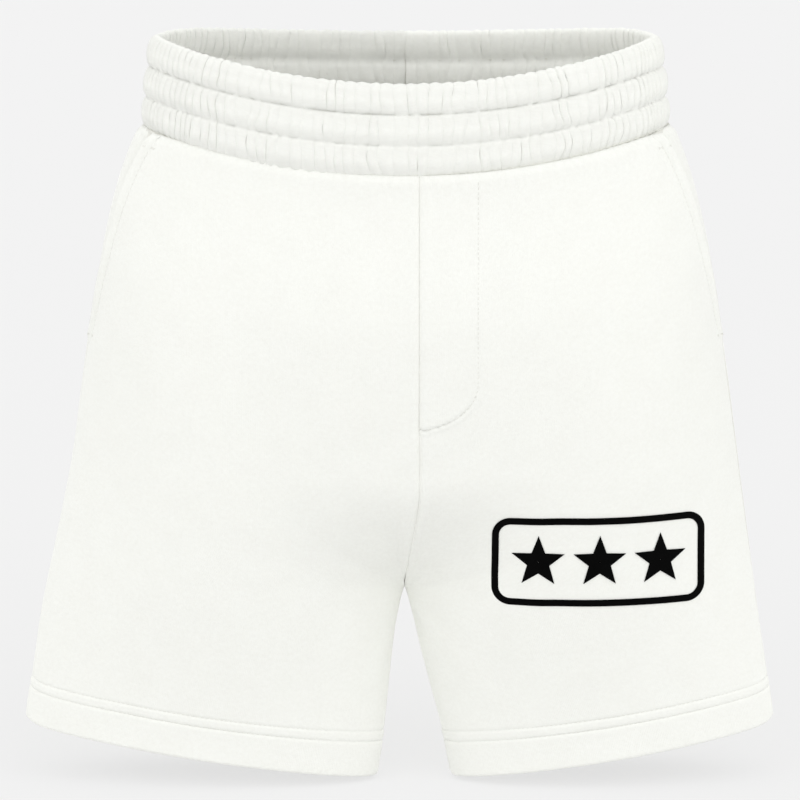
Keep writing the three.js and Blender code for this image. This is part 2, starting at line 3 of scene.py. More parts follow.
import bpy
import numpy as np
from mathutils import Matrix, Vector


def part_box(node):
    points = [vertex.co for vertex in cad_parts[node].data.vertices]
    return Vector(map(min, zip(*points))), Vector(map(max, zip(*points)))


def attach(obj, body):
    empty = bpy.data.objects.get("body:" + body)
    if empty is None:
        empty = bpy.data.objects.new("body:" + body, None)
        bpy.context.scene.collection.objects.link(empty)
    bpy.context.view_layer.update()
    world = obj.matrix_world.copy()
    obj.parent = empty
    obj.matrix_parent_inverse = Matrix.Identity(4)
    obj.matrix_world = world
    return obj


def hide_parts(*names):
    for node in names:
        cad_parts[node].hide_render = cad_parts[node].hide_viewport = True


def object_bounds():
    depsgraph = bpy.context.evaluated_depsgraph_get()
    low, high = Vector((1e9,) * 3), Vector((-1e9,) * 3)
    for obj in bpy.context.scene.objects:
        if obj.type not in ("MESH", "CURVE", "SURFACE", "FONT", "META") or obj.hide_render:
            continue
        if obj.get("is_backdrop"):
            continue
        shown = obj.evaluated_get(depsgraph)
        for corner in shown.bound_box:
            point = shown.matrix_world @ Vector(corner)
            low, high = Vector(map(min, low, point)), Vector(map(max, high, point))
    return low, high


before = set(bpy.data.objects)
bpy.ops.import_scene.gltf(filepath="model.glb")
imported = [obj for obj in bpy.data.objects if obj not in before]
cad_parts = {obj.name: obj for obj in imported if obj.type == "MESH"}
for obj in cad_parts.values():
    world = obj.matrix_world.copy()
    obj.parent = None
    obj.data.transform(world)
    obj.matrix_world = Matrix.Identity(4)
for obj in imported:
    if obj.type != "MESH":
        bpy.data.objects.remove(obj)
cad_low, cad_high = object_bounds()
mm = 0.001
backward = np.array([0.0, 1.0, 0.0])
outward_in_plan = np.array([1.0, 1.0, 0.0])


# ---- Camera and studio ----
# A long lens three metres away, a little above the shorts, so that the rim opens and the hems stay flat.
# The floor is a pale panel lit from below, in an even white room, with broad soft lights all round.

camera_distance = 3.0
camera_elevation = np.radians(8.5)
camera_field = 528 * mm
camera_aside = -3.6 * mm
camera_lift = 4 * mm
sensor_width = 36
far_clip = 100
room_strength = 0.77


def aim(thing, place, target):
    """Puts a camera or lamp at place, with its -Z axis along the line to target."""
    thing.location = place
    direction = thing.location - type(thing.location)(target)
    thing.rotation_euler = direction.to_track_quat("Z", "Y").to_euler()


def linear(code):
    """The linear red, green, blue and alpha of an sRGB hex colour."""
    channels = np.array([int(code[i:i + 2], 16) for i in (1, 3, 5)]) / 255
    curved = np.where(channels <= 0.04045, channels / 12.92, ((channels + 0.055) / 1.055) ** 2.4)
    return (*curved.tolist(), 1.0)


def add_node(tree, kind, values=None, links=None, **settings):
    """A new node: settings are its own, values are its sockets' numbers and links are what feeds them."""
    node = tree.nodes.new(kind)
    for key, value in settings.items():
        setattr(node, key, value)
    for key, value in (values or {}).items():
        node.inputs[key].default_value = value
    for key, source in (links or {}).items():
        tree.links.new(source, node.inputs[key])
    return node


def new_material(name):
    """An empty node material and its tree."""
    material = bpy.data.materials.new(name)
    material.use_nodes = True
    material.node_tree.nodes.clear()
    return material, material.node_tree


middle = (np.array(cad_low) + np.array(cad_high)) / 2
target = (camera_aside, 0.0, middle[2] + camera_lift)
camera = bpy.data.objects.new("camera", bpy.data.cameras.new("camera"))
bpy.context.scene.collection.objects.link(camera)
camera.data.sensor_width = sensor_width
camera.data.lens = sensor_width * camera_distance / camera_field
camera.data.clip_end = far_clip
back_off = camera_distance * np.array([0, -np.cos(camera_elevation), np.sin(camera_elevation)])
aim(camera, tuple(np.array(target) + back_off), target)
bpy.context.scene.camera = camera

world = bpy.data.worlds.new("studio")
bpy.context.scene.world = world
world.use_nodes = True
room = world.node_tree.nodes["Background"]
room.inputs["Color"].default_value = linear("#ffffff")
room.inputs["Strength"].default_value = room_strength
bpy.context.scene.view_settings.view_transform = "Standard"

for lamp_name, place, spread, strength in (
    ("front_light", (0.15, -2.2, 2.2), 70, 0.58),
    ("left_light", (-2.4, -1.2, 0.1), 80, 0.60),
    ("right_light", (2.4, -1.2, 0.1), 80, 0.66),
    ("rear_light", (-0.6, 2.4, 1.6), 80, 0.55),
):
    lamp = bpy.data.objects.new(lamp_name, bpy.data.lights.new(lamp_name, "SUN"))
    lamp.data.angle = np.radians(spread)
    lamp.data.energy = strength
    bpy.context.scene.collection.objects.link(lamp)
    aim(lamp, place, target)

floor_drop = 2 * mm
floor_reach = 30.0
floor_glow = 0.674
floor_mesh = bpy.data.meshes.new("floor")
floor_z = cad_low[2] - floor_drop
floor_corners = [(x * floor_reach, y * floor_reach, floor_z) for x, y in ((-1, -1), (1, -1), (1, 1), (-1, 1))]
floor_mesh.from_pydata(floor_corners, [], [(0, 1, 2, 3)])
floor = bpy.data.objects.new("floor", floor_mesh)
bpy.context.scene.collection.objects.link(floor)
panel_glass, tree = new_material("lit_acrylic_floor")
glow = add_node(tree, "ShaderNodeEmission", {"Color": linear("#ffffff"), "Strength": floor_glow})
frosted = add_node(tree, "ShaderNodeBsdfDiffuse", {"Color": linear("#7a7a7a"), "Roughness": 1.0})
both = add_node(tree, "ShaderNodeAddShader", links={0: glow.outputs[0], 1: frosted.outputs[0]})
clear = add_node(tree, "ShaderNodeBsdfTransparent")
underside = add_node(tree, "ShaderNodeNewGeometry").outputs["Backfacing"]
one_way = add_node(tree, "ShaderNodeMixShader", links={0: underside, 1: both.outputs[0], 2: clear.outputs[0]})
add_node(tree, "ShaderNodeOutputMaterial", links={"Surface": one_way.outputs[0]})
floor_mesh.materials.append(panel_glass)
floor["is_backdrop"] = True


# ---- Cloth of the shorts ----
# The four panels are one hollow shape: a girth at each level that is round at the waist and becomes two
# flat lenses at the hems. Every layer of cloth is that shape, drawn in by an inset.

cloth_thickness = 1.8 * mm
band_height = 58 * mm
waist_half_width = 171 * mm
waist_front_depth = 74 * mm
waist_back_depth = 78 * mm
band_ledge = 3.5 * mm
band_ledge_depth = 2 * mm
rim_lean = 6 * mm
front_rim_drop = 26.5 * mm
back_rim_shoulder = 4.5 * mm
back_rim_sag = 6.2 * mm
side_length = 399 * mm
hem_half_width = float(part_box("left_front_panel")[1].x)
waist_pinch = 16 * mm
pinch_fade = 38 * mm
hem_rise = 35 * mm
hem_inner_offset = 25 * mm
crotch_roundness = 8 * mm
crotch_depth = 283 * mm
crotch_rise = 27 * mm
front_seam_drift = 9 * mm
front_depths = (waist_front_depth + band_ledge_depth, 88 * mm, 62 * mm, 42 * mm)
back_depths = (waist_back_depth + band_ledge_depth, 108 * mm, 74 * mm, 48 * mm)
hip_level, crotch_level, rise_curve_level = 0.27, 0.705, 0.5
side_fold = 0.7
lens_power = 0.9
groove_power = 1.8
rim_shoulder_power = 14
crotch_close_power = 24

side_seam_z = -band_height
hem_outer_z = side_seam_z - side_length
hem_inner_z = hem_outer_z - hem_rise
crotch_z = side_seam_z - front_rim_drop - crotch_depth
side_flare = (hem_half_width - waist_half_width - band_ledge - waist_pinch) / side_length
hem_slope = hem_rise / (hem_half_width - hem_inner_offset)


def mix(a, b, share):
    """a at share 0 and b at share 1."""
    return a + (b - a) * share


def bell(distance, width):
    """1 at no distance, falling away as e to the minus square of the distance over the width."""
    return np.exp(-(distance / width) ** 2)


def ease(value, low, high):
    """0 below low and 1 above high, joined by three t squared less two t cubed."""
    t = np.clip((value - low) / (high - low), 0, 1)
    return t * t * (3 - 2 * t)


def rim_height(share, front):
    """The rim's height where x is that share of the half width. The front drops by a parabola. The back
    rises quickly beside the sides, by a high power of the share, and sags a little towards its middle."""
    back = back_rim_shoulder * (1 - share ** rim_shoulder_power) - back_rim_sag * (1 - share ** 2)
    return np.where(front, -front_rim_drop * (1 - share ** 2), back)


def half_depth(level, depths):
    """A smooth curve through the depths at waist, hip, crotch and hem, as cubic pieces with level ends."""
    knots = np.array([0, hip_level, crotch_level, 1])
    values = np.array(depths)
    inner = (values[2:] - values[:-2]) / (knots[2:] - knots[:-2])
    slopes = np.array([0, *inner, 0])
    k = np.clip(np.searchsorted(knots, level, side="right") - 1, 0, 2)
    span = knots[k + 1] - knots[k]
    t = (level - knots[k]) / span
    bend = t * (1 - t) ** 2 * span * slopes[k] + t * t * (t - 1) * span * slopes[k + 1]
    return mix(values[k], values[k + 1], t * t * (3 - 2 * t)) + bend


hem_corner_lift = 6 * mm
hem_corner_reach = 0.022
right_spread = 8 * mm
spread_levels = (0.5, 0.85)
inner_shift = 7 * mm
shift_levels = (0.7, 1)


def sway(x, level):
    """How far the legs hang aside at a level: the wearer's right leg spreads by the cube of its share of the
    width, and the inner edges shift to the wearer's left by a bell of it."""
    share = x / hem_half_width
    spread = right_spread * ((1 - share) / 2) ** 3 * ease(level, *spread_levels)
    return inner_shift * (1 - share ** 2) ** 2 * ease(level, *shift_levels) - spread


def side_level_z(level):
    """The height of the side fold at a level."""
    below = (level - crotch_level) / (1 - crotch_level)
    upper = mix(side_seam_z, crotch_z + crotch_rise, level / crotch_level)
    return np.where(level > crotch_level, mix(crotch_z + crotch_rise, hem_outer_z, below), upper)


def girth(w, level, swing):
    """How far x has come in from the side and y out from the middle, as shares: a quarter ellipse at the
    waist and half a lens below the crotch. The rise seams swing in to the crotch as a cosine."""
    q = np.abs(w)
    leg = ease(level, 0, crotch_level)
    folded = mix((1 - np.cos(q * np.pi)) / 2, q, side_fold)
    lens = np.where(q < 0.5, np.abs(np.sin(q * np.pi)) ** lens_power, 1)
    rise = np.cos(swing * np.pi / 2)
    groove = np.sqrt(rise ** 2 + (1 - rise ** 2) * np.abs(np.sin(q * np.pi)) ** groove_power)
    shape_y = mix(np.sin(q * np.pi / 2), lens, leg) * np.where(q < 0.5, 1, groove)
    return mix(1 - np.cos(q * np.pi / 2), folded, leg), shape_y


def cloth_point(side, level, w, inset):
    """A point of the shell. level runs from 0 at the waist seam to 1 at the hem. w runs round the leg from
    the front inner edge, -1, by the side, 0, to the back inner edge, 1. Below the crotch a hyperbola opens
    the gap between the legs. The hem's corners are drawn up a little by the side seams."""
    level, w, inset = np.broadcast_arrays(*(np.asarray(v, float) for v in (level, w, inset)))
    below = np.clip((level - crotch_level) / (1 - crotch_level), 0, None)
    swing = np.clip((level - rise_curve_level) / (crotch_level - rise_curve_level), 0, 1)
    shape_x, shape_y = girth(w, level, swing)
    side_z = side_level_z(level)
    half_width = hem_half_width - (side_z - hem_outer_z) * side_flare
    half_width = half_width - waist_pinch * np.exp((side_z - side_seam_z) / pinch_fade)
    outer = half_width - inset
    seam = np.where(w < 0, side * front_seam_drift * (1 - ease(level, rise_curve_level, crotch_level)), 0)
    closed = outer - (outer - seam) * shape_x
    straight = hem_inner_offset ** 2 - crotch_roundness ** 2
    gap = np.sqrt(crotch_roundness ** 2 * below + straight * below ** 2) + swing ** crotch_close_power * inset
    x = closed + np.hypot(closed, gap * (1 - closed / outer)) - np.abs(closed)
    depth = np.where(w < 0, half_depth(level, front_depths), half_depth(level, back_depths)) - inset
    y = np.sign(w) * depth * shape_y
    crotch_half = hem_half_width + (hem_outer_z - crotch_z - crotch_rise) * side_flare
    share = np.clip(x / crotch_half, 0, 1)
    middle_z = crotch_z + inset * (1 - share) + crotch_rise * share
    seam_z = rim_height(x / outer, w < 0) - band_height
    corner_lift = hem_corner_lift * np.exp(-np.abs(w) / hem_corner_reach)
    hem_z = hem_inner_z + (x - hem_inner_offset) * hem_slope + corner_lift
    upper_z = mix(seam_z, middle_z, level / crotch_level)
    z = np.where(level < crotch_level, upper_z, mix(middle_z, hem_z, below))
    return np.stack([side * x + sway(side * x, level), y, z], -1)


noise_cells = 97


def soft_noise(u, v, seed):
    """Smooth noise from -1 to 1: random values at whole numbers of u and v, joined by smooth steps."""
    values = np.random.default_rng(seed).uniform(-1, 1, (noise_cells, noise_cells))
    i, j = np.floor(u).astype(int), np.floor(v).astype(int)
    a, b = ease(u - i, 0, 1), ease(v - j, 0, 1)
    i, j, next_i, next_j = (k % noise_cells for k in (i, j, i + 1, j + 1))
    return mix(mix(values[i, j], values[next_i, j], a), mix(values[i, next_j], values[next_i, next_j], a), b)


gather_count = 134
gather_random = np.random.default_rng(11)
gather_widths = gather_random.uniform(0.75, 1.25, gather_count)
gather_edges = np.concatenate([[0], np.cumsum(gather_widths) / gather_widths.sum()])
gather_heights = gather_random.uniform(0.65, 1.0, gather_count)
patch_share = 0.15
patch_count = 75
patch_height = 12 * mm
tunnel_stride = 31

# The creases stray by these noises. Each has its share of a turn, how many fit round the waist, its height,
# how far it moves on from tunnel to tunnel, and its seed.
strays = ((0.0018, 60, 11 * mm, 5, 5), (0.0008, 190, 7 * mm, 7, 6))


def wander(turn, height, tunnel_index):
    """How far round the waist the creases stray at a height, as a share of a turn: the sum of the strays."""
    total = 0
    for share, count, tall, shift, seed in strays:
        total = total + share * soft_noise(turn * count, height / tall + shift * tunnel_index, seed)
    return total


def gathers(turn, height, tunnel_index=0):
    """0 in a crease and up to 1 on a ridge of the gathered waist. turn runs once round from the back, and
    each ridge is halfway between a parabola and a raised cosine. Each tunnel has its own strengths."""
    at = np.mod(turn + wander(turn, height, tunnel_index), 1)
    index = np.clip(np.searchsorted(gather_edges, at, side="right") - 1, 0, gather_count - 1)
    across = (at - gather_edges[index]) / (gather_edges[index + 1] - gather_edges[index])
    patch = soft_noise(turn * patch_count, height / patch_height + 3 * tunnel_index, seed=7)
    strength = gather_heights[(index + tunnel_stride * np.asarray(tunnel_index).astype(int)) % gather_count]
    ridge = mix(1 - (2 * across - 1) ** 2, (1 - np.cos(2 * np.pi * across)) / 2, 0.5)
    return strength * (1 - patch_share + patch_share * patch) * ridge


fly_width = 40 * mm
fly_length = 166 * mm
fly_curve = 30 * mm
pocket_top = 4 * mm
pocket_mouth = 136 * mm
pocket_inset = 0.22
pocket_stitch_inset = 6 * mm
fly_stitch_inset = 2.5 * mm
hem_height = 29 * mm
hem_stitch_spacing = 6.4 * mm
pocket_bottom_z = side_seam_z - pocket_top - pocket_mouth


def side_seam(level):
    """The w of the side seam: on the fold of the leg, but forward of it along the pocket mouth."""
    share = np.clip((side_level_z(level) - pocket_bottom_z) / (side_seam_z - pocket_bottom_z), 0, 1)
    return -pocket_inset * share


small_step = 0.004
walk_steps = 12


def pace(side, level, w):
    """The length of cloth per unit of w, from the chord of a small step."""
    low, high = np.maximum(w - small_step, -1), np.minimum(w + small_step, 1)
    chord = cloth_point(side, level, high, 0) - cloth_point(side, level, low, 0)
    return np.linalg.norm(chord, axis=-1) / (high - low)


def beside(side, level, w, distance):
    """The w that lies the given distance along the cloth from w, in equal steps."""
    for _ in range(walk_steps):
        w = np.clip(w + distance / walk_steps / pace(side, level, w), -1, 1)
    return w


def fly_edge_distance(across, down):
    """How far inside the J-shaped edge of the mock fly a point lies, below 0 outside it."""
    drop = np.clip(down - (fly_length - fly_curve), 0, None) / fly_curve
    reach = np.hypot(np.clip(across, 0, None) / fly_width, drop)
    return (1 - reach) * mix(fly_width, fly_curve, np.clip(drop, 0, 1))


gather_swell = 1.4 * mm
gather_fade = 8 * mm
pull_swell = 0.75 * mm
pull_count = 34
pull_length = 60 * mm
pull_fade = 42 * mm
top_tuck = 2.4 * mm
top_tuck_reach = 2.6 * mm


def gathered(turn, fall):
    """Gathers that fade below the band, longer pulls under them, and the top edge tucked in to the band."""
    fine = gather_swell * gathers(turn, -fall) * np.exp(-fall / gather_fade)
    pulls = soft_noise(turn * pull_count, fall / pull_length, seed=21) * np.exp(-fall / pull_fade)
    return fine + pull_swell * pulls - top_tuck * bell(fall, top_tuck_reach)


front_crease_depth = 0.9 * mm
back_crease_depth = 1.8 * mm
creases_per_radian = 6.5
crease_length = 70 * mm
crease_start = 25 * mm
crease_reach = 75 * mm


def creased(side, base, back):
    """Creases that fan out from the crotch: noise of the direction from it, fading with the distance."""
    away = np.linalg.norm(base - np.array([0, 0, crotch_z]), axis=-1)
    fan = np.arctan2(np.abs(base[..., 0]), base[..., 2] - crotch_z)
    fold = soft_noise(fan * creases_per_radian + 3 * side, away / crease_length, 31 + side)
    depth = mix(front_crease_depth, back_crease_depth, back)
    return depth * fold * bell(away, crease_reach) * ease(away, 0, crease_start)


front_drape_depth = 0.8 * mm
back_drape_depth = 1.6 * mm
drape_size = (46 * mm, 150 * mm)
ripple_depth = 0.3 * mm
ripple_size = (17 * mm, 48 * mm)
settled = (20 * mm, 160 * mm)
whisker_depth = 0.22 * mm
whisker_fall = 5.5 * mm
whisker_slant = 12 * mm
whisker_below_fly = 14 * mm
whisker_height = 16 * mm
whisker_reach = 50 * mm


def draped(base, fall, back):
    """Broad soft drape with ripples on it, as noise of x and z, and slanting whiskers just under the fly."""
    x, z = base[..., 0], base[..., 2]
    drape = soft_noise(x / drape_size[0] + 7 * back, z / drape_size[1], seed=41)
    ripple = soft_noise(x / ripple_size[0], z / ripple_size[1] + 9 * back, seed=43)
    soft = mix(front_drape_depth, back_drape_depth, back) * drape + ripple_depth * ripple
    whisker = np.sin(fall / whisker_fall + x / whisker_slant) * bell(x, whisker_reach) * (1 - back)
    under_fly = bell(fall - fly_length - whisker_below_fly, whisker_height)
    return soft * ease(fall, *settled) + whisker_depth * whisker * under_fly


seam_depth = 1.3 * mm
seam_depth_at_crotch = 0.2 * mm
seam_reach = 1.5 * mm
crotch_fade = (0.55, 0.66)
ridge_height = 0.45 * mm
ridge_inset = 4.5 * mm
ridge_reach = 3.2 * mm


def inner_seam(level, distance):
    """The sunken line of the rise seam or inseam, and the soft ridge of its allowance beside it."""
    depth = mix(seam_depth, seam_depth_at_crotch, ease(level, *crotch_fade))
    return ridge_height * bell(distance - ridge_inset, ridge_reach) - depth * bell(distance, seam_reach)


mouth_swell = 3.2 * mm
mouth_front_reach = 7 * mm
mouth_back_reach = 11 * mm
mouth_foot_gape = 0.35
gape_height = 45 * mm
mouth_foot = (-3 * mm, 4 * mm)
mouth_row_depth = 1.2 * mm
mouth_row_reach = 1.2 * mm


def side_edge(level, distance, front):
    """The side seam is sunken. Along the pocket mouth the front's edge stands out instead, with a stitched
    row along it, and the back is set in, both less towards the foot of the mouth."""
    above_foot = side_level_z(level) - pocket_bottom_z
    swell = mouth_swell * mix(mouth_foot_gape, 1, ease(above_foot, 0, gape_height))
    row = mouth_row_depth * bell(distance - pocket_stitch_inset, mouth_row_reach)
    raised = swell * bell(distance, mouth_front_reach) - row
    set_in = -swell * bell(distance, mouth_back_reach)
    sunk = -seam_depth * bell(distance, seam_reach)
    return mix(sunk, np.where(front, raised, set_in), ease(above_foot, *mouth_foot))


fly_swell = (0.4 * mm, 0.9 * mm)
fly_row_depth = (0.6 * mm, 1.3 * mm)
fly_row_reach = 1.1 * mm
fly_edge_reach = 1.6 * mm


def doubled_fly(x, fall):
    """The fly stands out by its second layer and sinks along its row, both more in the curve of the J."""
    inside = fly_edge_distance(x - front_seam_drift, fall)
    in_curve = ease(fall, fly_length - fly_curve, fly_length)
    row = mix(*fly_row_depth, in_curve) * bell(inside - fly_stitch_inset, fly_row_reach)
    return mix(*fly_swell, in_curve) * ease(inside, -fly_edge_reach, fly_edge_reach) - row


hem_row_depth = 0.95 * mm
hem_row_reach = 0.9 * mm
hem_swell = 0.35 * mm
hem_step = (2 * mm, -1 * mm)
pucker_depth = 0.2 * mm
pucker_run = 6 * mm
pucker_slant = 11 * mm
pucker_height = 30 * mm


def hemmed(up, along, fall):
    """The hem stands out by its turned layer, a little puckered, and sinks along its two stitched rows. up
    is the height above the hem's edge."""
    pucker = soft_noise(along / pucker_run + fall / pucker_slant, fall / pucker_height, seed=51)
    out = (hem_swell + pucker_depth * pucker) * ease(up, *(hem_height + step for step in hem_step))
    for row in (hem_height, hem_height - hem_stitch_spacing):
        out = out - hem_row_depth * bell(up - row, hem_row_reach)
    return out


def relief(side, level, w, front):
    """How far the outer face stands out from the plain shell: the sum of what each feature adds."""
    base = cloth_point(side, level, w, 0)
    run = pace(side, level, w)
    fall = level * side_length
    back = np.where(np.asarray(front), 0, 1)
    turn = np.where(side > 0, 0.25 - w / 4, 0.75 + w / 4)
    out = gathered(turn, fall) + creased(side, base, back) + draped(base, fall, back)
    out = out + inner_seam(level, run * (1 - np.abs(w)))
    out = out + side_edge(level, run * np.abs(w - side_seam(level)), front)
    if side > 0:
        out = out + doubled_fly(base[..., 0], fall) * (1 - back)
    return out + hemmed((1 - level) * side_length, run * w, fall)


def finish_shape(name, points, faces, uv=None, face_slots=None):
    """A smooth mesh object from points and a list of face arrays, each with its own corner count."""
    mesh = bpy.data.meshes.new(name)
    totals = np.concatenate([np.full(len(f), f.shape[1]) for f in faces])
    corners = np.concatenate([f.ravel() for f in faces]).astype(np.int32)
    mesh.vertices.add(len(points))
    mesh.vertices.foreach_set("co", np.asarray(points, np.float32).ravel())
    mesh.loops.add(len(corners))
    mesh.loops.foreach_set("vertex_index", corners)
    mesh.polygons.add(len(totals))
    mesh.polygons.foreach_set("loop_start", np.concatenate([[0], np.cumsum(totals)[:-1]]).astype(np.int32))
    mesh.polygons.foreach_set("use_smooth", np.ones(len(totals), bool))
    if face_slots is not None:
        mesh.polygons.foreach_set("material_index", np.asarray(face_slots, np.int32))
    if uv is not None:
        layer = mesh.uv_layers.new(name="cloth")
        layer.data.foreach_set("uv", np.asarray(uv, np.float32)[corners].ravel())
    mesh.validate()
    mesh.update()
    piece = bpy.data.objects.new(name, mesh)
    bpy.context.scene.collection.objects.link(piece)
    return piece


def grid_quads(rows, columns, wrap):
    """The four corners of each cell of a grid, with the last column joined to the first if wrap is true."""
    i, j = np.meshgrid(np.arange(rows - 1), np.arange(columns if wrap else columns - 1), indexing="ij")
    k = (j + 1) % columns
    cells = [i * columns + j, i * columns + k, (i + 1) * columns + k, (i + 1) * columns + j]
    return np.stack(cells, -1).reshape(-1, 4)


def grid_normals(grid, wrap):
    """The unit cross product of the steps along the columns and the rows at each point."""
    if wrap:
        across = np.roll(grid, -1, 1) - np.roll(grid, 1, 1)
    else:
        across = np.gradient(grid, axis=1)
    normal = np.cross(across, np.gradient(grid, axis=0))
    return normal / np.maximum(np.linalg.norm(normal, axis=-1, keepdims=True), 1e-12)


def cloth_sheet(name, grid, thickness, towards, wrap=False):
    """A layer of cloth from the grid of its middle: two faces, half the thickness to each side along the
    normal, and a rim round the edges. The face that looks the way of towards gets the first material."""
    rows, columns = grid.shape[:2]
    normal = grid_normals(grid, wrap)
    forward = float((normal[:rows // 2] * towards).sum()) > 0
    outward = normal if forward else -normal
    points = np.concatenate([(grid + outward * thickness / 2).reshape(-1, 3),
                             (grid - outward * thickness / 2).reshape(-1, 3)])
    cells = grid_quads(rows, columns, wrap)
    face = cells if forward else cells[:, ::-1]
    count = rows * columns
    edges = [np.arange(columns), (rows - 1) * columns + np.arange(columns)[::-1]]
    if wrap:
        edges = [np.append(e, e[0]) for e in edges]
    else:
        edges += [np.arange(rows)[::-1] * columns, np.arange(rows) * columns + columns - 1]
    rims = [np.stack([e[1:], e[:-1], e[:-1] + count, e[1:] + count], -1) for e in edges]
    rim = np.concatenate(rims)
    rim = rim if forward else rim[:, ::-1]
    lengths = np.linalg.norm(np.diff(grid, axis=1), axis=-1)
    u = np.concatenate([np.zeros((rows, 1)), np.cumsum(lengths, 1)], 1)
    falls = np.linalg.norm(np.diff(grid, axis=0), axis=-1)
    v = np.concatenate([np.zeros((1, columns)), np.cumsum(falls, 0)], 0).mean(1, keepdims=True) + 0 * u
    uv = np.stack([u, v], -1).reshape(-1, 2)
    slots = np.concatenate([np.zeros(len(face)), np.ones(len(face) + len(rim))])
    return finish_shape(name, points, [face, face[:, ::-1] + count, rim], np.concatenate([uv, uv]), slots)


wave_turns = 3.18


def stripes(tree, vector, pitch, direction, distortion, **values):
    """A wave pattern with the given pitch. At a scale of 1 the wave texture draws wave_turns of them."""
    values = {"Scale": 1 / (pitch * wave_turns), "Distortion": distortion, **values}
    wave = add_node(tree, "ShaderNodeTexWave", values, {"Vector": vector}, bands_direction=direction)
    return wave.outputs["Fac"]


def grains(tree, vector, size, detail=2.0, **values):
    """A noise pattern with grains of the given size."""
    values = {"Scale": 1 / size, "Detail": detail, **values}
    return add_node(tree, "ShaderNodeTexNoise", values, {"Vector": vector}).outputs["Fac"]


def scaled(tree, pattern, share, base=None):
    """The pattern times its share, plus the base pattern if there is one."""
    links, kind = ({0: pattern}, "MULTIPLY") if base is None else ({0: pattern, 2: base}, "MULTIPLY_ADD")
    return add_node(tree, "ShaderNodeMath", {1: share}, links, operation=kind).outputs[0]


def finish_material(tree, height, bump, tone, colours, values, **links):
    """Ends a material. height raises its bump, of a strength and depth, and tone runs between its colours."""
    strength, depth = bump
    raised = add_node(tree, "ShaderNodeBump", {"Strength": strength, "Distance": depth}, {"Height": height})
    low, high = (linear(code) for code in colours)
    colour = add_node(tree, "ShaderNodeMix", {6: low, 7: high}, {0: tone}, data_type="RGBA")
    links = {**links, "Base Color": colour.outputs[2], "Normal": raised.outputs[0]}
    shader = add_node(tree, "ShaderNodeBsdfPrincipled", values, links)
    add_node(tree, "ShaderNodeOutputMaterial", links={"Surface": shader.outputs[0]})


# Cotton fleece, knitted and brushed: fine vertical wales a millimetre apart under a short nap, so it is
# quite matt, a little bright at grazing edges and faintly mottled. Wales are drawn coarser than the real
# 0.7 mm so that they show.
wale_pitch = 1.15 * mm
course_pitch = 0.868 * mm
wale_waver = 1.4
course_waver = 2.2
nap_size = 0.55 * mm
nap_bump = (0.55, 0.28 * mm)
pill_size = 2.6 * mm
pill_share = 0.9
blotch_size = 22 * mm
blotch_share = 0.5
fleece_gloss = {"IOR": 1.5, "Specular IOR Level": 0.2, "Sheen Weight": 0.4, "Sheen Roughness": 0.4}
fleece_roughness = {"To Min": 0.86, "To Max": 1.0}


def knitted(name, dark, light, loops, nap):
    """A knitted cloth: wales and courses as sine waves over the cloth's own coordinates, broken by noise."""
    material, tree = new_material(name)
    uv = add_node(tree, "ShaderNodeUVMap", uv_map="cloth").outputs["UV"]
    fine = {"Detail": 1.0, "Detail Scale": 2.0}
    wales = stripes(tree, uv, wale_pitch, "X", wale_waver, **fine)
    courses = stripes(tree, uv, course_pitch, "Y", course_waver, **fine)
    fuzz = grains(tree, uv, nap_size, 3.0, Roughness=0.65)
    pills = grains(tree, uv, pill_size, 2.0, Roughness=0.6)
    blotches = grains(tree, uv, blotch_size, 3.0)
    knit = add_node(tree, "ShaderNodeMath", links={0: wales, 1: courses}, operation="MULTIPLY").outputs[0]
    hairs = scaled(tree, fuzz, nap, scaled(tree, knit, loops))
    height = scaled(tree, pills, pill_share, hairs)
    tone = scaled(tree, blotches, blotch_share, pills)
    rough = add_node(tree, "ShaderNodeMapRange", fleece_roughness, {"Value": fuzz}).outputs[0]
    finish_material(tree, height, nap_bump, tone, (dark, light), fleece_gloss, Roughness=rough)
    return material


fleece_face = knitted("brushed_cotton_fleece", "#efefe9", "#f7f8f3", 0.5, 0.7)
fleece_inside = knitted("terry_loop_inside", "#e2e2d9", "#f1f1ea", 1.3, 0.9)


def dress(piece, body, nodes, materials):
    """Gives a piece its materials and its body, and hides the CAD nodes that it stands for."""
    for material in materials:
        piece.data.materials.append(material)
    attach(piece, body)
    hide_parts(*nodes)


# ---- The four panels ----
# Each is one cut of fleece, gathered into the band at the top and turned up 29 mm at the hem. The front
# panel's edge stands free as the pocket mouth, and the back panel carries on under it.

panel_columns = 150
tucked_columns = 16
column_crowding = 0.6
zone_rows = (25, 32, 26, 66, 42)
gathered_zone = 40 * mm
fly_foot_zone = 4 * mm
hem_zone = 34 * mm
fold_rows = 7
turned_rows = 12
panel_gap = 0.0008
fold_radius = 1.25 * mm
pocket_underlap = 0.10
underlap_lip = 0.02
underlap_foot = (-2 * mm, 10 * mm)
underlap_gap = 1.0 * mm
underlap_drop = 3.4 * mm
underlap_drop_start = 0.012
underlap_drop_run = 0.05
underlap_end = 0.10
underlap_fade = 0.16


def crowd(count, share):
    """Even steps from 0 to 1, drawn towards both ends by the given share of a half cosine."""
    even = np.linspace(0, 1, count)
    return mix(even, (1 - np.cos(even * np.pi)) / 2, share)


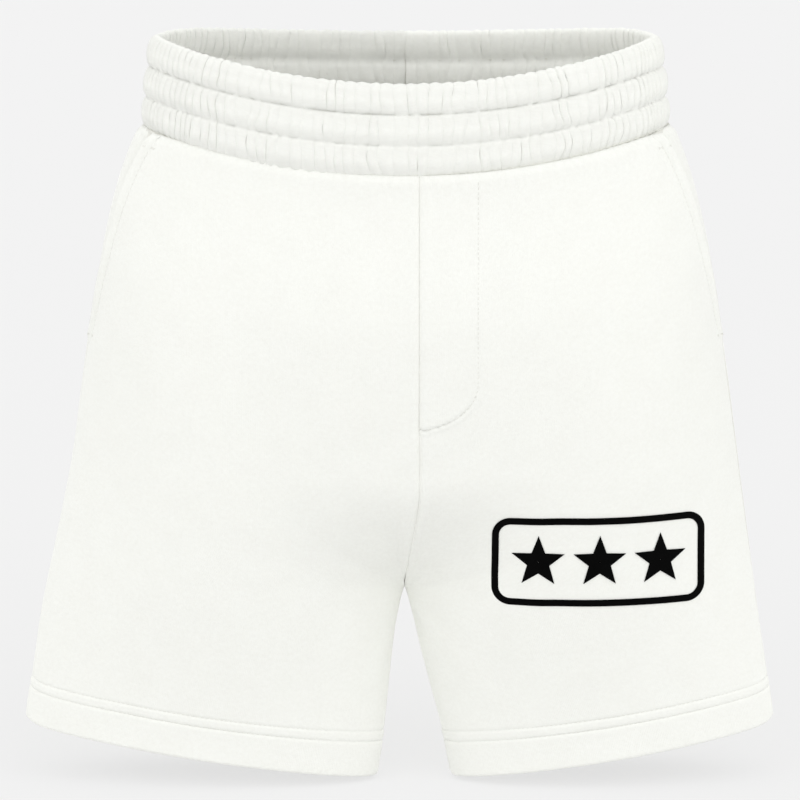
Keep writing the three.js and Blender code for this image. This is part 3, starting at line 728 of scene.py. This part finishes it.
def hem_path():
    """The levels and insets down a panel, round the hem's fold as a half circle, and up the turned layer.
    The rows are closest in the gathers, in the curve of the fly and in the hem."""
    half = cloth_thickness / 2
    fold_level = 1 - (fold_radius + half) / side_length
    stops = [0, gathered_zone, fly_length - fly_curve, fly_length + fly_foot_zone, side_length - hem_zone,
             fold_level * side_length]
    runs = [np.linspace(a, b, count, endpoint=False) for a, b, count in zip(stops, stops[1:], zone_rows)]
    down = np.append(np.concatenate(runs), stops[-1]) / side_length
    angle = np.linspace(0, np.pi, fold_rows + 2)[1:-1]
    up = np.linspace(fold_level, 1 - (hem_height - 1 * mm) / side_length, turned_rows)
    levels = np.concatenate([down, fold_level + fold_radius / side_length * np.sin(angle), up])
    around = half + fold_radius * (1 - np.cos(angle))
    insets = [np.full(len(down), half), around, np.full(len(up), half + 2 * fold_radius)]
    return levels, np.concatenate(insets)


def columns(start, end, count, crowding):
    """Values of w between start and end on each row, crowded towards both ends."""
    return mix(start[:, None], end[:, None], crowd(count, crowding)[None, :])


def under_pocket(seam, w, share):
    """How far the back panel drops behind the front panel's edge, by two smooth steps of w."""
    drop = underlap_drop * ease(seam + underlap_drop_start - w, 0, underlap_drop_run)
    return (drop + underlap_gap) * share * ease(underlap_end - w, 0, underlap_fade)


levels, insets = hem_path()
seam = side_seam(levels)
underlap = ease(side_level_z(levels) - pocket_bottom_z, *underlap_foot)
lip = seam + underlap_lip
front_w_grid = columns(np.full(len(levels), panel_gap - 1), seam - panel_gap, panel_columns, column_crowding)
tucked = columns(seam + panel_gap - pocket_underlap * underlap, lip, tucked_columns, 0)[:, :-1]
free = columns(lip, np.full(len(levels), 1 - panel_gap), panel_columns - tucked_columns, column_crowding)
back_w_grid = np.concatenate([tucked, free], 1)
back_drop = under_pocket(seam[:, None], back_w_grid, underlap[:, None])

for side, word in ((1, "left"), (-1, "right")):
    for face, w, drop, way in (("front", front_w_grid, 0, -1), ("back", back_w_grid, back_drop, 1)):
        level = np.broadcast_to(levels[:, None], w.shape)
        grid = cloth_point(side, level, w, insets[:, None] + drop - relief(side, level, w, face == "front"))
        panel = cloth_sheet(f"{word}_{face}_panel_cloth", grid, cloth_thickness, way * backward)
        dress(panel, "shorts", [f"{word}_{face}_panel"], [fleece_face, fleece_inside])


# ---- Waistband ----
# A strip of the same fleece folded over a flat elastic and sewn through twice, which makes three puffed
# tunnels. The elastic draws it up, so each tunnel is full of small upright gathers.

tunnel_count = 3
tunnel = band_height / tunnel_count
columns_in_gather = np.array([0, 0.10, 0.28, 0.5, 0.72, 0.90])
elastic_thickness = 1.5 * mm
layer_gap = 0.3 * mm
band_stack = 2 * cloth_thickness + elastic_thickness + 2 * layer_gap


def band_point(turn, height, inset):
    """A point of the band: an ellipse round the waist that starts at the back, leaning in towards the rim
    by a square law of the height."""
    turn, height, inset = np.broadcast_arrays(*(np.asarray(v, float) for v in (turn, height, inset)))
    angle = (turn - 0.25) * 2 * np.pi
    lean = rim_lean * (np.clip(height, 0, None) / band_height) ** 2 + inset
    back = -np.sin(angle)
    depth = np.where(back > 0, waist_back_depth, waist_front_depth) - lean
    z = rim_height(np.cos(angle), back < 0) - band_height + height
    return np.stack([(waist_half_width - lean) * np.cos(angle), depth * back, z], -1)


band_inset = 1.2 * mm
puff_height = 1.9 * mm
puff_power = 0.7
fold_heights = (0.7 * mm, 2.15 * mm)
channel_depth = 1.9 * mm
channel_reach = 1.0 * mm
puckers_round = 290
pucker_range = (0.7, 0.7)
uneven_range = (0.85, 0.3)
uneven_size = (60, 20 * mm)


def band_relief(turn, height):
    """Puffed tunnels with gathers: both swell as a power of the sine of the height within the tunnel and
    sink in the two stitched channels, where small puckers are left between the stitches."""
    inside = np.clip(height, 0, band_height - 1e-6)
    swell = np.abs(np.sin(np.pi * inside / tunnel)) ** puff_power
    noise = soft_noise(turn * uneven_size[0], height / uneven_size[1], seed=61)
    uneven = uneven_range[0] + uneven_range[1] * noise
    folds = mix(*fold_heights, swell) * gathers(turn, height, np.floor(inside / tunnel))
    out = puff_height * swell * uneven + folds
    for row in range(1, tunnel_count):
        noise = soft_noise(turn * puckers_round, 0 * turn + row, seed=63)
        pucker = pucker_range[0] + pucker_range[1] * noise
        out = out - channel_depth * pucker * bell(height - row * tunnel, channel_reach)
    return out - band_inset


band_foot = -1.2 * mm
outer_rows = 32
rim_rows = 5
inner_rows = 20
inside_facing = -0.8


def band_profile():
    """Heights and insets of the folded strip: up the outer face, over the rim as a half circle, down inside,
    and how much of the relief each row takes, less than 0 where it faces inside."""
    half = cloth_thickness / 2
    radius = (band_stack - cloth_thickness) / 2
    top = band_height - half - radius
    outer = np.linspace(band_foot, top, outer_rows)
    angle = np.linspace(0, np.pi, rim_rows + 2)[1:-1]
    inner = np.linspace(top, 0.5 * mm, inner_rows)
    heights = np.concatenate([outer, top + radius * np.sin(angle), inner])
    insets = np.concatenate([np.full(outer_rows, half), half + radius * (1 - np.cos(angle)),
                             np.full(inner_rows, half + 2 * radius)])
    facing = np.concatenate([np.full(outer_rows, 1.0), np.cos(angle), np.full(inner_rows, inside_facing)])
    return heights, insets, facing


join_reach = 0.003
join_gap = 0.00006
join_dip = 0.5 * mm
rim_scallop = 1.3 * mm
rim_zone = (-7 * mm, -1 * mm)
foot_tuck = 0.4 * mm
foot_tuck_reach = 1.6 * mm

heights, insets, facing = band_profile()
creases = (gather_edges[:-1, None] + np.diff(gather_edges)[:, None] * columns_in_gather).ravel()
creases = np.clip(np.append(creases, 1), join_gap, 1 - join_gap)[None, :]
height = heights[:, None] + 0 * creases
in_tunnel = np.floor(np.clip(height, 0, band_height - 1e-6) / tunnel)
at_join = bell(np.minimum(creases, 1 - creases), join_reach)
turn = creases - wander(creases, height, in_tunnel) * (1 - at_join)
scallop = rim_scallop * gathers(turn, height, tunnel_count - 1) * ease(height - band_height, *rim_zone)
tuck = foot_tuck * bell(height - band_foot, foot_tuck_reach) * (facing[:, None] > 0)
inset = insets[:, None] - facing[:, None] * (band_relief(turn, height) - join_dip * at_join) + tuck
grid = band_point(turn, height + scallop, inset)
towards = grid[:len(grid) // 2] * outward_in_plan
casing = cloth_sheet("waistband_casing_cloth", grid, cloth_thickness, towards)
dress(casing, "shorts", ["waistband_casing"], [fleece_face, fleece_inside])


# ---- Elastic ----
# A flat woven webbing, rubber cores under polyester yarn, loose in the casing but for the two sewn rows.

elastic_height = band_height - cloth_thickness - 2 * layer_gap
elastic_inset = band_stack / 2 + 0.48 * mm
elastic_drawn_thickness = 0.9 * mm
elastic_ends = (0.0006, 0.9994)
elastic_foot = 1 * mm

elastic, tree = new_material("woven_elastic_webbing")
where = add_node(tree, "ShaderNodeTexCoord").outputs["Object"]
ribs = stripes(tree, where, 1.6 * mm, "Z", 0.3)
yarns = grains(tree, where, 0.8 * mm)
finish_material(tree, scaled(tree, yarns, 0.4, ribs), (0.6, 0.4 * mm), ribs, ("#dcdcd4", "#f2f2ec"),
                {"Roughness": 0.75, "Sheen Weight": 0.1})

turn, height = np.meshgrid(np.linspace(*elastic_ends, 400), np.linspace(elastic_foot, elastic_height, 24))
grid = band_point(turn, height, elastic_inset)
towards = grid[:len(grid) // 2] * outward_in_plan
webbing = cloth_sheet("waist_elastic_webbing", grid, elastic_drawn_thickness, towards)
dress(webbing, "shorts", ["waist_elastic"], [elastic, elastic])


# ---- Topstitching ----
# Spun polyester sewing thread, lockstitched: each stitch is a short length of thread that dives into the
# cloth at both ends. The thread is drawn 0.55 mm thick, about twice the real one, so that it shows.

stitch_pitch = 3.2 * mm
stitch_share = (0.06, 0.94)
thread_radius = 0.27 * mm
thread_steps = 6
thread_sides = 6
thread_taper = 0.7
stitch_bow = 0.42 * mm
loose_bow = 0.5 * mm
looper_pitch = 2.1 * mm

thread, tree = new_material("spun_polyester_thread")
uv = add_node(tree, "ShaderNodeUVMap", uv_map="cloth").outputs["UV"]
twist_and_ply_shade = stripes(tree, uv, 0.5 * mm, "DIAGONAL", 0.4)
# Painted shade: the thread's colours are darker than the cloth's, standing in for the shade at the needle
# holes and between the plies. The darker stripes of the twist are that painted shade, and the same stripes
# also raise its bump.
finish_material(tree, twist_and_ply_shade, (0.5, 0.08 * mm), twist_and_ply_shade, ("#e0e0d8", "#f2f2ec"),
                {"Roughness": 0.55, "Sheen Weight": 0.15})


def sewn(name, starts, ends, outward, bow, nodes):
    """Short threads from starts to ends. Each is a tube whose middle bows outward by a parabola and whose
    ends taper by a fourth power, half sunk in the cloth."""
    along = np.linspace(0, 1, thread_steps)[:, None]
    around = np.linspace(0, 2 * np.pi, thread_sides, endpoint=False)
    run = ends - starts
    length = np.linalg.norm(run, axis=-1, keepdims=True)
    run = run / length
    out = outward - run * (outward * run).sum(-1, keepdims=True)
    out = out / np.linalg.norm(out, axis=-1, keepdims=True)
    rise = bow * (1 - (2 * along - 1) ** 2) - thread_radius
    middle = mix(starts[:, None], ends[:, None], along) + out[:, None] * rise
    thick = thread_radius * (1 - thread_taper * (2 * along - 1) ** 4)
    sideways = np.cross(run, out)
    ring = np.cos(around)[:, None] * out[:, None, None] + np.sin(around)[:, None] * sideways[:, None, None]
    points = middle[:, :, None] + thick[None, :, :, None] * ring
    count, rows, sides = points.shape[:3]
    first = np.arange(count)[:, None] * rows * sides
    tube = (first[:, :, None] + grid_quads(rows, sides, True)[None, :, ::-1]).reshape(-1, 4)
    start_cap = first + np.arange(sides)
    end_cap = first + (rows - 1) * sides + np.arange(sides)[::-1]
    u, v = np.broadcast_arrays(length[:, :, None] * along[None], around * thread_radius)
    uv = np.stack([u, v], -1).reshape(-1, 2)
    piece = finish_shape(name, points.reshape(-1, 3), [tube, start_cap, end_cap], uv)
    dress(piece, "shorts", nodes, [thread])


def even_steps(path, outward, pitch):
    """Points and outward directions at an even pitch along a dense path."""
    lengths = np.linalg.norm(np.diff(path, axis=0), axis=-1)
    travelled = np.concatenate([[0], np.cumsum(lengths)])
    at = np.linspace(0, travelled[-1], int(round(travelled[-1] / pitch)) + 1)
    lines = (path.T, outward.T)
    points, out = (np.stack([np.interp(at, travelled, axis) for axis in line], -1) for line in lines)
    return points, out / np.linalg.norm(out, axis=-1, keepdims=True)


def lockstitches(path, outward):
    """Starts, ends and outward directions of a row of stitches, with a needle hole between each two."""
    points, out = even_steps(path, outward, stitch_pitch)
    starts, ends = (mix(points[:-1], points[1:], share) for share in stitch_share)
    return starts, ends, out[:-1] + out[1:]


def joined(rows):
    """The starts, ends and outward directions of several rows as one."""
    return [np.concatenate(part) for part in zip(*rows)]


def on_cloth(side, level, w, lift):
    """A point lift outside the finished outer face, and the way out from there."""
    level, w = np.broadcast_arrays(np.asarray(level, float), np.asarray(w, float))
    bulge = np.where(w < 0, relief(side, level, w, True), relief(side, level, w, False))
    point = cloth_point(side, level, w, -bulge - lift)
    return point, cloth_point(side, level, w, -bulge - lift - 1 * mm) - point


dense = np.linspace(0, 1, 1600)
for row in range(1, tunnel_count):
    lift = band_relief(dense, 0 * dense + row * tunnel)
    rows = []
    for inset, out in ((-lift, -1), (band_stack - inside_facing * lift, 1)):
        path = band_point(dense, row * tunnel, inset)
        rows.append(lockstitches(path, band_point(dense, row * tunnel, inset + out * mm) - path))
    sewn(f"waistband_lockstitch_{row}", *joined(rows), loose_bow, [f"waistband_stitching_{row}"])

hem_w = mix(-0.999, 0.999, np.linspace(0, 1, 700))
inner_face = 2 * (fold_radius + cloth_thickness / 2)
for side, word in ((1, "left"), (-1, "right")):
    looped = []
    for above, place in ((hem_height - hem_stitch_spacing, "lower"), (hem_height, "upper")):
        level = 1 - above / side_length
        row = lockstitches(*on_cloth(side, level, hem_w, 0))
        sewn(f"{word}_hem_needle_row_{place}", *row, stitch_bow, [f"{word}_hem_stitch_{place}"])
        inside, out = on_cloth(side, level, hem_w, -inner_face)
        looped.append(even_steps(inside, -out, looper_pitch))
    (low, out), (high, _) = looped
    count = min(len(low), len(high))
    low, high, out = low[:count], high[:count], out[:count]
    zigzag = joined([(low[:-1], high[1:], out[:-1]), (high[1:], low[1:], out[1:])])
    sewn(f"{word}_hem_looper_thread", *zigzag, loose_bow, [])


# ---- Pocket mouths ----
# The front panel's edge is topstitched back 6 mm from the fold. A bar tack, a dense zigzag of thread
# 9 mm long, holds each end of the mouth.

bartack_length = 9 * mm
bartack_width = 2.2 * mm
bartack_start = 1 * mm
bartack_bow = 0.2 * mm
tack_crossings = 17
tack_shares = {"upper": 0.03, "lower": 0.97}
row_shares = (0.05, 0.95)
mouth_top_level = pocket_top / side_length
level_drop = crotch_level / (side_seam_z - crotch_z - crotch_rise)
mouth_bottom_level = (side_seam_z - pocket_bottom_z) * level_drop


def mouth_level(share):
    """The level at a share of the pocket mouth, from its top to its bottom."""
    return mix(mouth_top_level, mouth_bottom_level, share)


across = np.linspace(bartack_start, bartack_start + bartack_length, tack_crossings)
up_and_down = bartack_width / 2 / side_length * np.where(np.arange(tack_crossings) % 2, 1, -1)
for side, word in ((1, "left"), (-1, "right")):
    level = mouth_level(np.linspace(*row_shares, 200))
    row = lockstitches(*on_cloth(side, level, beside(side, level, side_seam(level), -pocket_stitch_inset), 0))
    sewn(f"{word}_pocket_mouth_lockstitch", *row, stitch_bow, [f"{word}_pocket_mouth_stitch"])
    for place, share in tack_shares.items():
        level = mouth_level(share) + up_and_down
        points, out = on_cloth(side, level, beside(side, level, side_seam(level), -across), 0.1 * mm)
        sewn(f"{word}_pocket_bartack_{place}_thread", points[:-1], points[1:], out[:-1], bartack_bow,
             [f"{word}_pocket_bartack_{place}"])


# ---- Mock fly ----
# The left front's extension is folded in behind it and caught by one row of stitching in the shape of a J.

halvings = 30


def front_w(level, x):
    """The w of the left front at a level and x, by halving: x falls as the cloth runs to the inner edge."""
    low, high = -1 + 0 * x, 0 * x
    for _ in range(halvings):
        middle_w = (low + high) / 2
        beyond = cloth_point(1, level, middle_w, 0)[..., 0] > x
        low, high = np.where(beyond, low, middle_w), np.where(beyond, middle_w, high)
    return (low + high) / 2


row_top = 2 * mm
row_steps = 160
curve_steps = 120
curve_end = np.pi / 2 * 0.97

turning = np.concatenate([np.zeros(row_steps), np.linspace(0, curve_end, curve_steps)])
straight = np.linspace(row_top, fly_length - fly_curve, row_steps)
down = np.concatenate([straight, np.full(curve_steps, fly_length - fly_curve)])
level = (down + (fly_curve - fly_stitch_inset) * np.sin(turning)) / side_length
x = front_seam_drift + (fly_width - fly_stitch_inset) * np.cos(turning)
row = lockstitches(*on_cloth(1, level, front_w(level, x), 0))
sewn("fly_lockstitch", *row, stitch_bow, ["fly_stitching"])

allowance_width = 8 * mm
backing_gap = 1.3 * mm
facing_margin = 5 * mm
level_clearance = 0.003
allowance_top = (2 * layer_gap + allowance_width) / side_length + level_clearance
levels = np.linspace(allowance_top, fly_length / side_length, 60)[:, None]
drop = np.clip((levels * side_length - facing_margin - fly_length + fly_curve) / fly_curve, 0, 1)
reach = np.maximum(fly_width * np.sqrt(1 - drop ** 2), allowance_width) + facing_margin
w = beside(1, levels, -0.998, reach * np.linspace(0, 1, 30)[None, :])
grid = cloth_point(1, levels, w, 1.5 * cloth_thickness + backing_gap - relief(1, levels, w, True))
facing_cloth = cloth_sheet("fly_facing_cloth", grid, cloth_thickness, backward)
dress(facing_cloth, "shorts", ["fly_facing"], [fleece_inside, fleece_inside])


# ---- Pocket bags ----
# Two plies of thin cotton jersey on each side, sewn together round a rounded foot and hung from the mouth.

lining_thickness = 0.9 * mm
pocket_bag_width = 118 * mm
pocket_bag_length = 205 * mm
bag_round_start = 0.62
bag_round_depth = 0.75
bag_seam_offset = 0.012
bag_slack = 0.5 * mm
bag_slack_cells = (9, 12)
bag_follow = 0.6
jersey = knitted("cotton_jersey_lining", "#e6e6df", "#f1f1ec", 0.9, 0.3)

fall = np.linspace(0, 1, 70)[:, None]
levels = allowance_top + fall * pocket_bag_length / side_length
rounding = np.clip((fall - bag_round_start) / (1 - bag_round_start), 0, 1)
reach = pocket_bag_width * np.sqrt(1 - bag_round_depth * rounding ** 2)
front_inset = 2 * (cloth_thickness + backing_gap)
insets = {"front": front_inset, "back": front_inset + lining_thickness + backing_gap}
for side, word in ((1, "left"), (-1, "right")):
    w = beside(side, levels, side_seam(levels) - bag_seam_offset, -reach * np.linspace(0, 1, 50)[None, :])
    ripple = soft_noise(w * bag_slack_cells[0], levels * bag_slack_cells[1] + side, 71)
    slack = bag_slack * ripple - bag_follow * relief(side, levels, w, True)
    for ply, inset in insets.items():
        grid = cloth_point(side, levels, w, inset + lining_thickness / 2 + slack)
        bag = cloth_sheet(f"{word}_pocket_bag_{ply}_ply", grid, lining_thickness, backward)
        dress(bag, "shorts", [f"{word}_pocket_bag_{ply}"], [jersey, jersey])


# ---- Overlocked seams ----
# Inside, each seam's two raw edges are trimmed to 8 mm and wrapped together by an overlock: two looper
# threads cross from a needle line to the edge, 2.6 mm apart, over a soft double ply.

allowance_thickness = 2.2 * mm
loop_pitch = 2.6 * mm
loop_height = 0.92 * allowance_thickness
double_ply = 0.8 * allowance_thickness
loop_bow = 0.35 * mm
needle_inset = 1.5 * mm
edge_wave = 0.35 * mm
seam_ends = (0.002, 0.998)
raw_edge = knitted("overlocked_fleece_edge", "#deded5", "#efefe8", 1.2, 1.0)


def overlocked(name, place, nodes, rows):
    """A seam allowance and its thread. place(t, across, depth) gives a point, with t along the seam from 0 to
    1, across the allowance from the seam, and depth inside the garment from the allowance's outer side."""
    t, across = np.linspace(0, 1, rows)[:, None], np.linspace(0, allowance_width, 6)[None, :]
    ripple = edge_wave * soft_noise(t * rows / 3, 0 * t, 81) * across / allowance_width
    grid = place(t, across + ripple, allowance_thickness / 2 + ripple)
    towards = place(t, across, allowance_thickness) - place(t, across, 0)
    strip = cloth_sheet(name + "_allowance", grid, double_ply, towards[:rows // 2])
    dress(strip, "shorts", nodes, [raw_edge, raw_edge])
    middle = allowance_width / 2
    length = np.linalg.norm(np.diff(place(np.linspace(0, 1, 200), middle, 0), axis=0), axis=-1).sum()
    knots = np.linspace(*seam_ends, int(length / loop_pitch) + 1)
    needle, edge = (place(knots, across, loop_height) for across in (needle_inset, allowance_width))
    out = (place(knots, middle, loop_height + 1 * mm) - place(knots, middle, loop_height))[:-1]
    crossings = [(needle[:-1], edge[:-1], out), (edge[:-1], needle[1:], out)]
    edges = [(row[:-1], row[1:], out) for row in (needle, edge)]
    sewn(name + "_looper_thread", *joined(crossings + edges), loop_bow, [])


def along_leg(side, levels, seam, direction):
    """place() for a seam that runs down a leg at w = seam, with its allowance laid in the given direction."""
    outer = cloth_thickness + backing_gap

    def place(t, across, depth):
        level = mix(levels[0], levels[1], t)
        w = beside(side, level, seam + 0 * level, direction * across)
        bulge = relief(side, level, w, seam < 0)
        return cloth_point(side, level, w, outer + depth - bulge)

    return place


def below_band(t, across, depth):
    """place() for the waist seam: t is a turn from the back, and the allowance hangs from the seam."""
    level = (layer_gap + across) / side_length
    left, w = t < 0.5, np.where(t < 0.5, 4 * t - 1, 3 - 4 * t)
    inset = cloth_thickness + backing_gap + depth
    return np.where(left[..., None], cloth_point(1, level, -w, inset), cloth_point(-1, level, -w, inset))


rise_end = crotch_level - 0.012
fly_foot = fly_length / side_length + 0.02
leg_end = 1 - hem_height / side_length - 0.006
bag_foot = (pocket_bag_length + 6 * mm) / side_length
overlocked("waist_seam", below_band, ["waist_seam_overlock"], 500)
overlocked("front_rise", along_leg(1, (fly_foot, rise_end), -0.998, 1), ["front_rise_overlock"], 90)
overlocked("back_rise", along_leg(1, (allowance_top, rise_end), 0.998, -1), ["back_rise_overlock"], 220)
for side, word in ((1, "left"), (-1, "right")):
    inseam = along_leg(side, (crotch_level + 0.02, leg_end), 0.985, -1)
    overlocked(f"{word}_inseam", inseam, [f"{word}_inseam_overlock"], 90)
    fold = along_leg(side, (bag_foot, leg_end), 0.015, 1)
    overlocked(f"{word}_side_seam", fold, [f"{word}_side_seam_overlock"], 120)


# ---- Print ----
# A heat-pressed transfer, a thin black film with a plain rounded frame round three stars. The film
# takes up the knit beneath it, so it has a faint grain and is quite matt.

badge_x = 126 * mm
badge_z = -337 * mm
badge_width = 140 * mm
badge_height = 60 * mm
badge_corner = 12 * mm
badge_line = 4.5 * mm
star_count = 3
star_radius = 18 * mm
star_waist = 0.42
star_spacing = 40 * mm
film_lift = 0.2 * mm
film_thickness = 0.22 * mm
corner_steps = 20
edge_steps = 24
star_edge_steps = 16

ink, tree = new_material("heat_pressed_transfer_film")
where = add_node(tree, "ShaderNodeTexCoord").outputs["Object"]
grain = grains(tree, where, 0.7 * mm, 2.0)
patches = grains(tree, where, 9 * mm, 2.0)
rough = add_node(tree, "ShaderNodeMapRange", {"To Min": 0.6, "To Max": 0.8}, {"Value": grain}).outputs[0]
finish_material(tree, grain, (0.45, 0.15 * mm), patches, ("#010101", "#060606"),
                {"Specular IOR Level": 0.04}, Roughness=rough)

newton_steps = 50
damping = 0.5
nudge = 0.0001
start_level, start_w = -0.03, -0.45
w_limits = (-0.95, -0.05)


def on_left_front(x, z):
    """The level and w of the left front at which the shell has that x and z, by damped Newton steps."""
    level, w = (side_seam_z - z) / side_length + start_level, start_w + 0 * x
    for _ in range(newton_steps):
        at = cloth_point(1, level, w, 0)
        by_level = (cloth_point(1, level + nudge, w, 0) - at) / nudge
        by_w = (cloth_point(1, level, w + nudge, 0) - at) / nudge
        dx, dz = x - at[..., 0], z - at[..., 2]
        area = by_level[..., 0] * by_w[..., 2] - by_level[..., 2] * by_w[..., 0]
        level = level + damping * (dx * by_w[..., 2] - dz * by_w[..., 0]) / area
        w = np.clip(w + damping * (by_level[..., 0] * dz - by_level[..., 2] * dx) / area, *w_limits)
    return level, w


def printed(name, x, z, node):
    """A closed patch of film over the cloth, from grids of x and z about the middle of the print."""
    level, w = on_left_front(badge_x + x, badge_z + z)
    grid, _ = on_cloth(1, level, w, film_lift + film_thickness / 2)
    film = cloth_sheet(name, grid, film_thickness, -backward, True)
    dress(film, "shorts", [node], [ink, ink])


corner = np.repeat(np.arange(4), corner_steps)[None, :]
bend = np.tile(np.linspace(0, np.pi / 2, corner_steps), 4)[None, :] + corner * np.pi / 2
radius = np.linspace(badge_corner, badge_corner - badge_line, 4)[:, None]
x = np.array([1, -1, -1, 1])[corner] * (badge_width / 2 - badge_corner) + radius * np.cos(bend)
z = np.array([1, 1, -1, -1])[corner] * (badge_height / 2 - badge_corner) + radius * np.sin(bend)
straight = corner_steps - 1 + np.arange(edge_steps) / edge_steps
one_side = np.concatenate([np.arange(corner_steps - 1), straight])
place = (one_side + corner_steps * np.arange(4)[:, None]).ravel()
before = place.astype(int)
after = (before + 1) % (4 * corner_steps)
x, z = (mix(line[:, before], line[:, after], place - before) for line in (x, z))
printed("badge_frame_film", x, z, "badge_frame_print")

corner = np.arange(11)
angle = np.linspace(0, 2 * np.pi, 11) + np.pi / 2
radius = np.where(corner % 2, star_waist, 1) * star_radius
edge = np.linspace(0, 10, 10 * star_edge_steps + 1)[:-1]
ring = np.linspace(1, 0.02, 9)[:, None]
x, z = (ring * np.interp(edge, corner, radius * wave(angle)) for wave in (np.cos, np.sin))
for i in range(star_count):
    middle = (i - (star_count - 1) / 2) * star_spacing
    printed(f"badge_star_film_{i + 1}", middle + x, z, f"badge_star_print_{i + 1}")


# ---- Care label ----
# A blank woven satin tape, sewn by one short edge into the left side seam, free to flip inside the leg.

label_width = 26 * mm
label_height = 42 * mm
label_thickness = 0.4 * mm
label_drop = 196 * mm
label_turn = np.radians(39)
label_seam_offset = 9 * mm
label_curl = 0.5 * mm

satin, tree = new_material("woven_satin_tape")
uv = add_node(tree, "ShaderNodeUVMap", uv_map="cloth").outputs["UV"]
weft = stripes(tree, uv, 0.6 * mm, "Y", 0.5)
finish_material(tree, weft, (0.35, 0.1 * mm), weft, ("#eeeeea", "#fbfbf8"),
                {"Roughness": 0.38, "Sheen Weight": 0.1})

seam_top = cloth_point(1, label_drop / side_length, 0, label_seam_offset)
seam_foot = cloth_point(1, (label_drop + label_height) / side_length, 0, label_seam_offset)
lean = np.arctan2(seam_foot[0] - seam_top[0], seam_top[2] - seam_foot[2])
out, fall = np.meshgrid(np.linspace(0, label_width, 20), np.linspace(0, label_height, 30))
curl = label_curl * np.sin(out / label_width * np.pi) * np.sin(fall / label_height * np.pi)
x = -out * np.cos(label_turn) + curl * np.sin(label_turn)
y = out * np.sin(label_turn) + curl * np.cos(label_turn)
grid = np.stack([x * np.cos(lean) + fall * np.sin(lean), y, x * np.sin(lean) - fall * np.cos(lean)], -1)
tape = cloth_sheet("care_label_tape", grid + seam_top, label_thickness, backward)
dress(tape, "label", ["care_label"], [satin, satin])


# ---- The end ----
low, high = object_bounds()
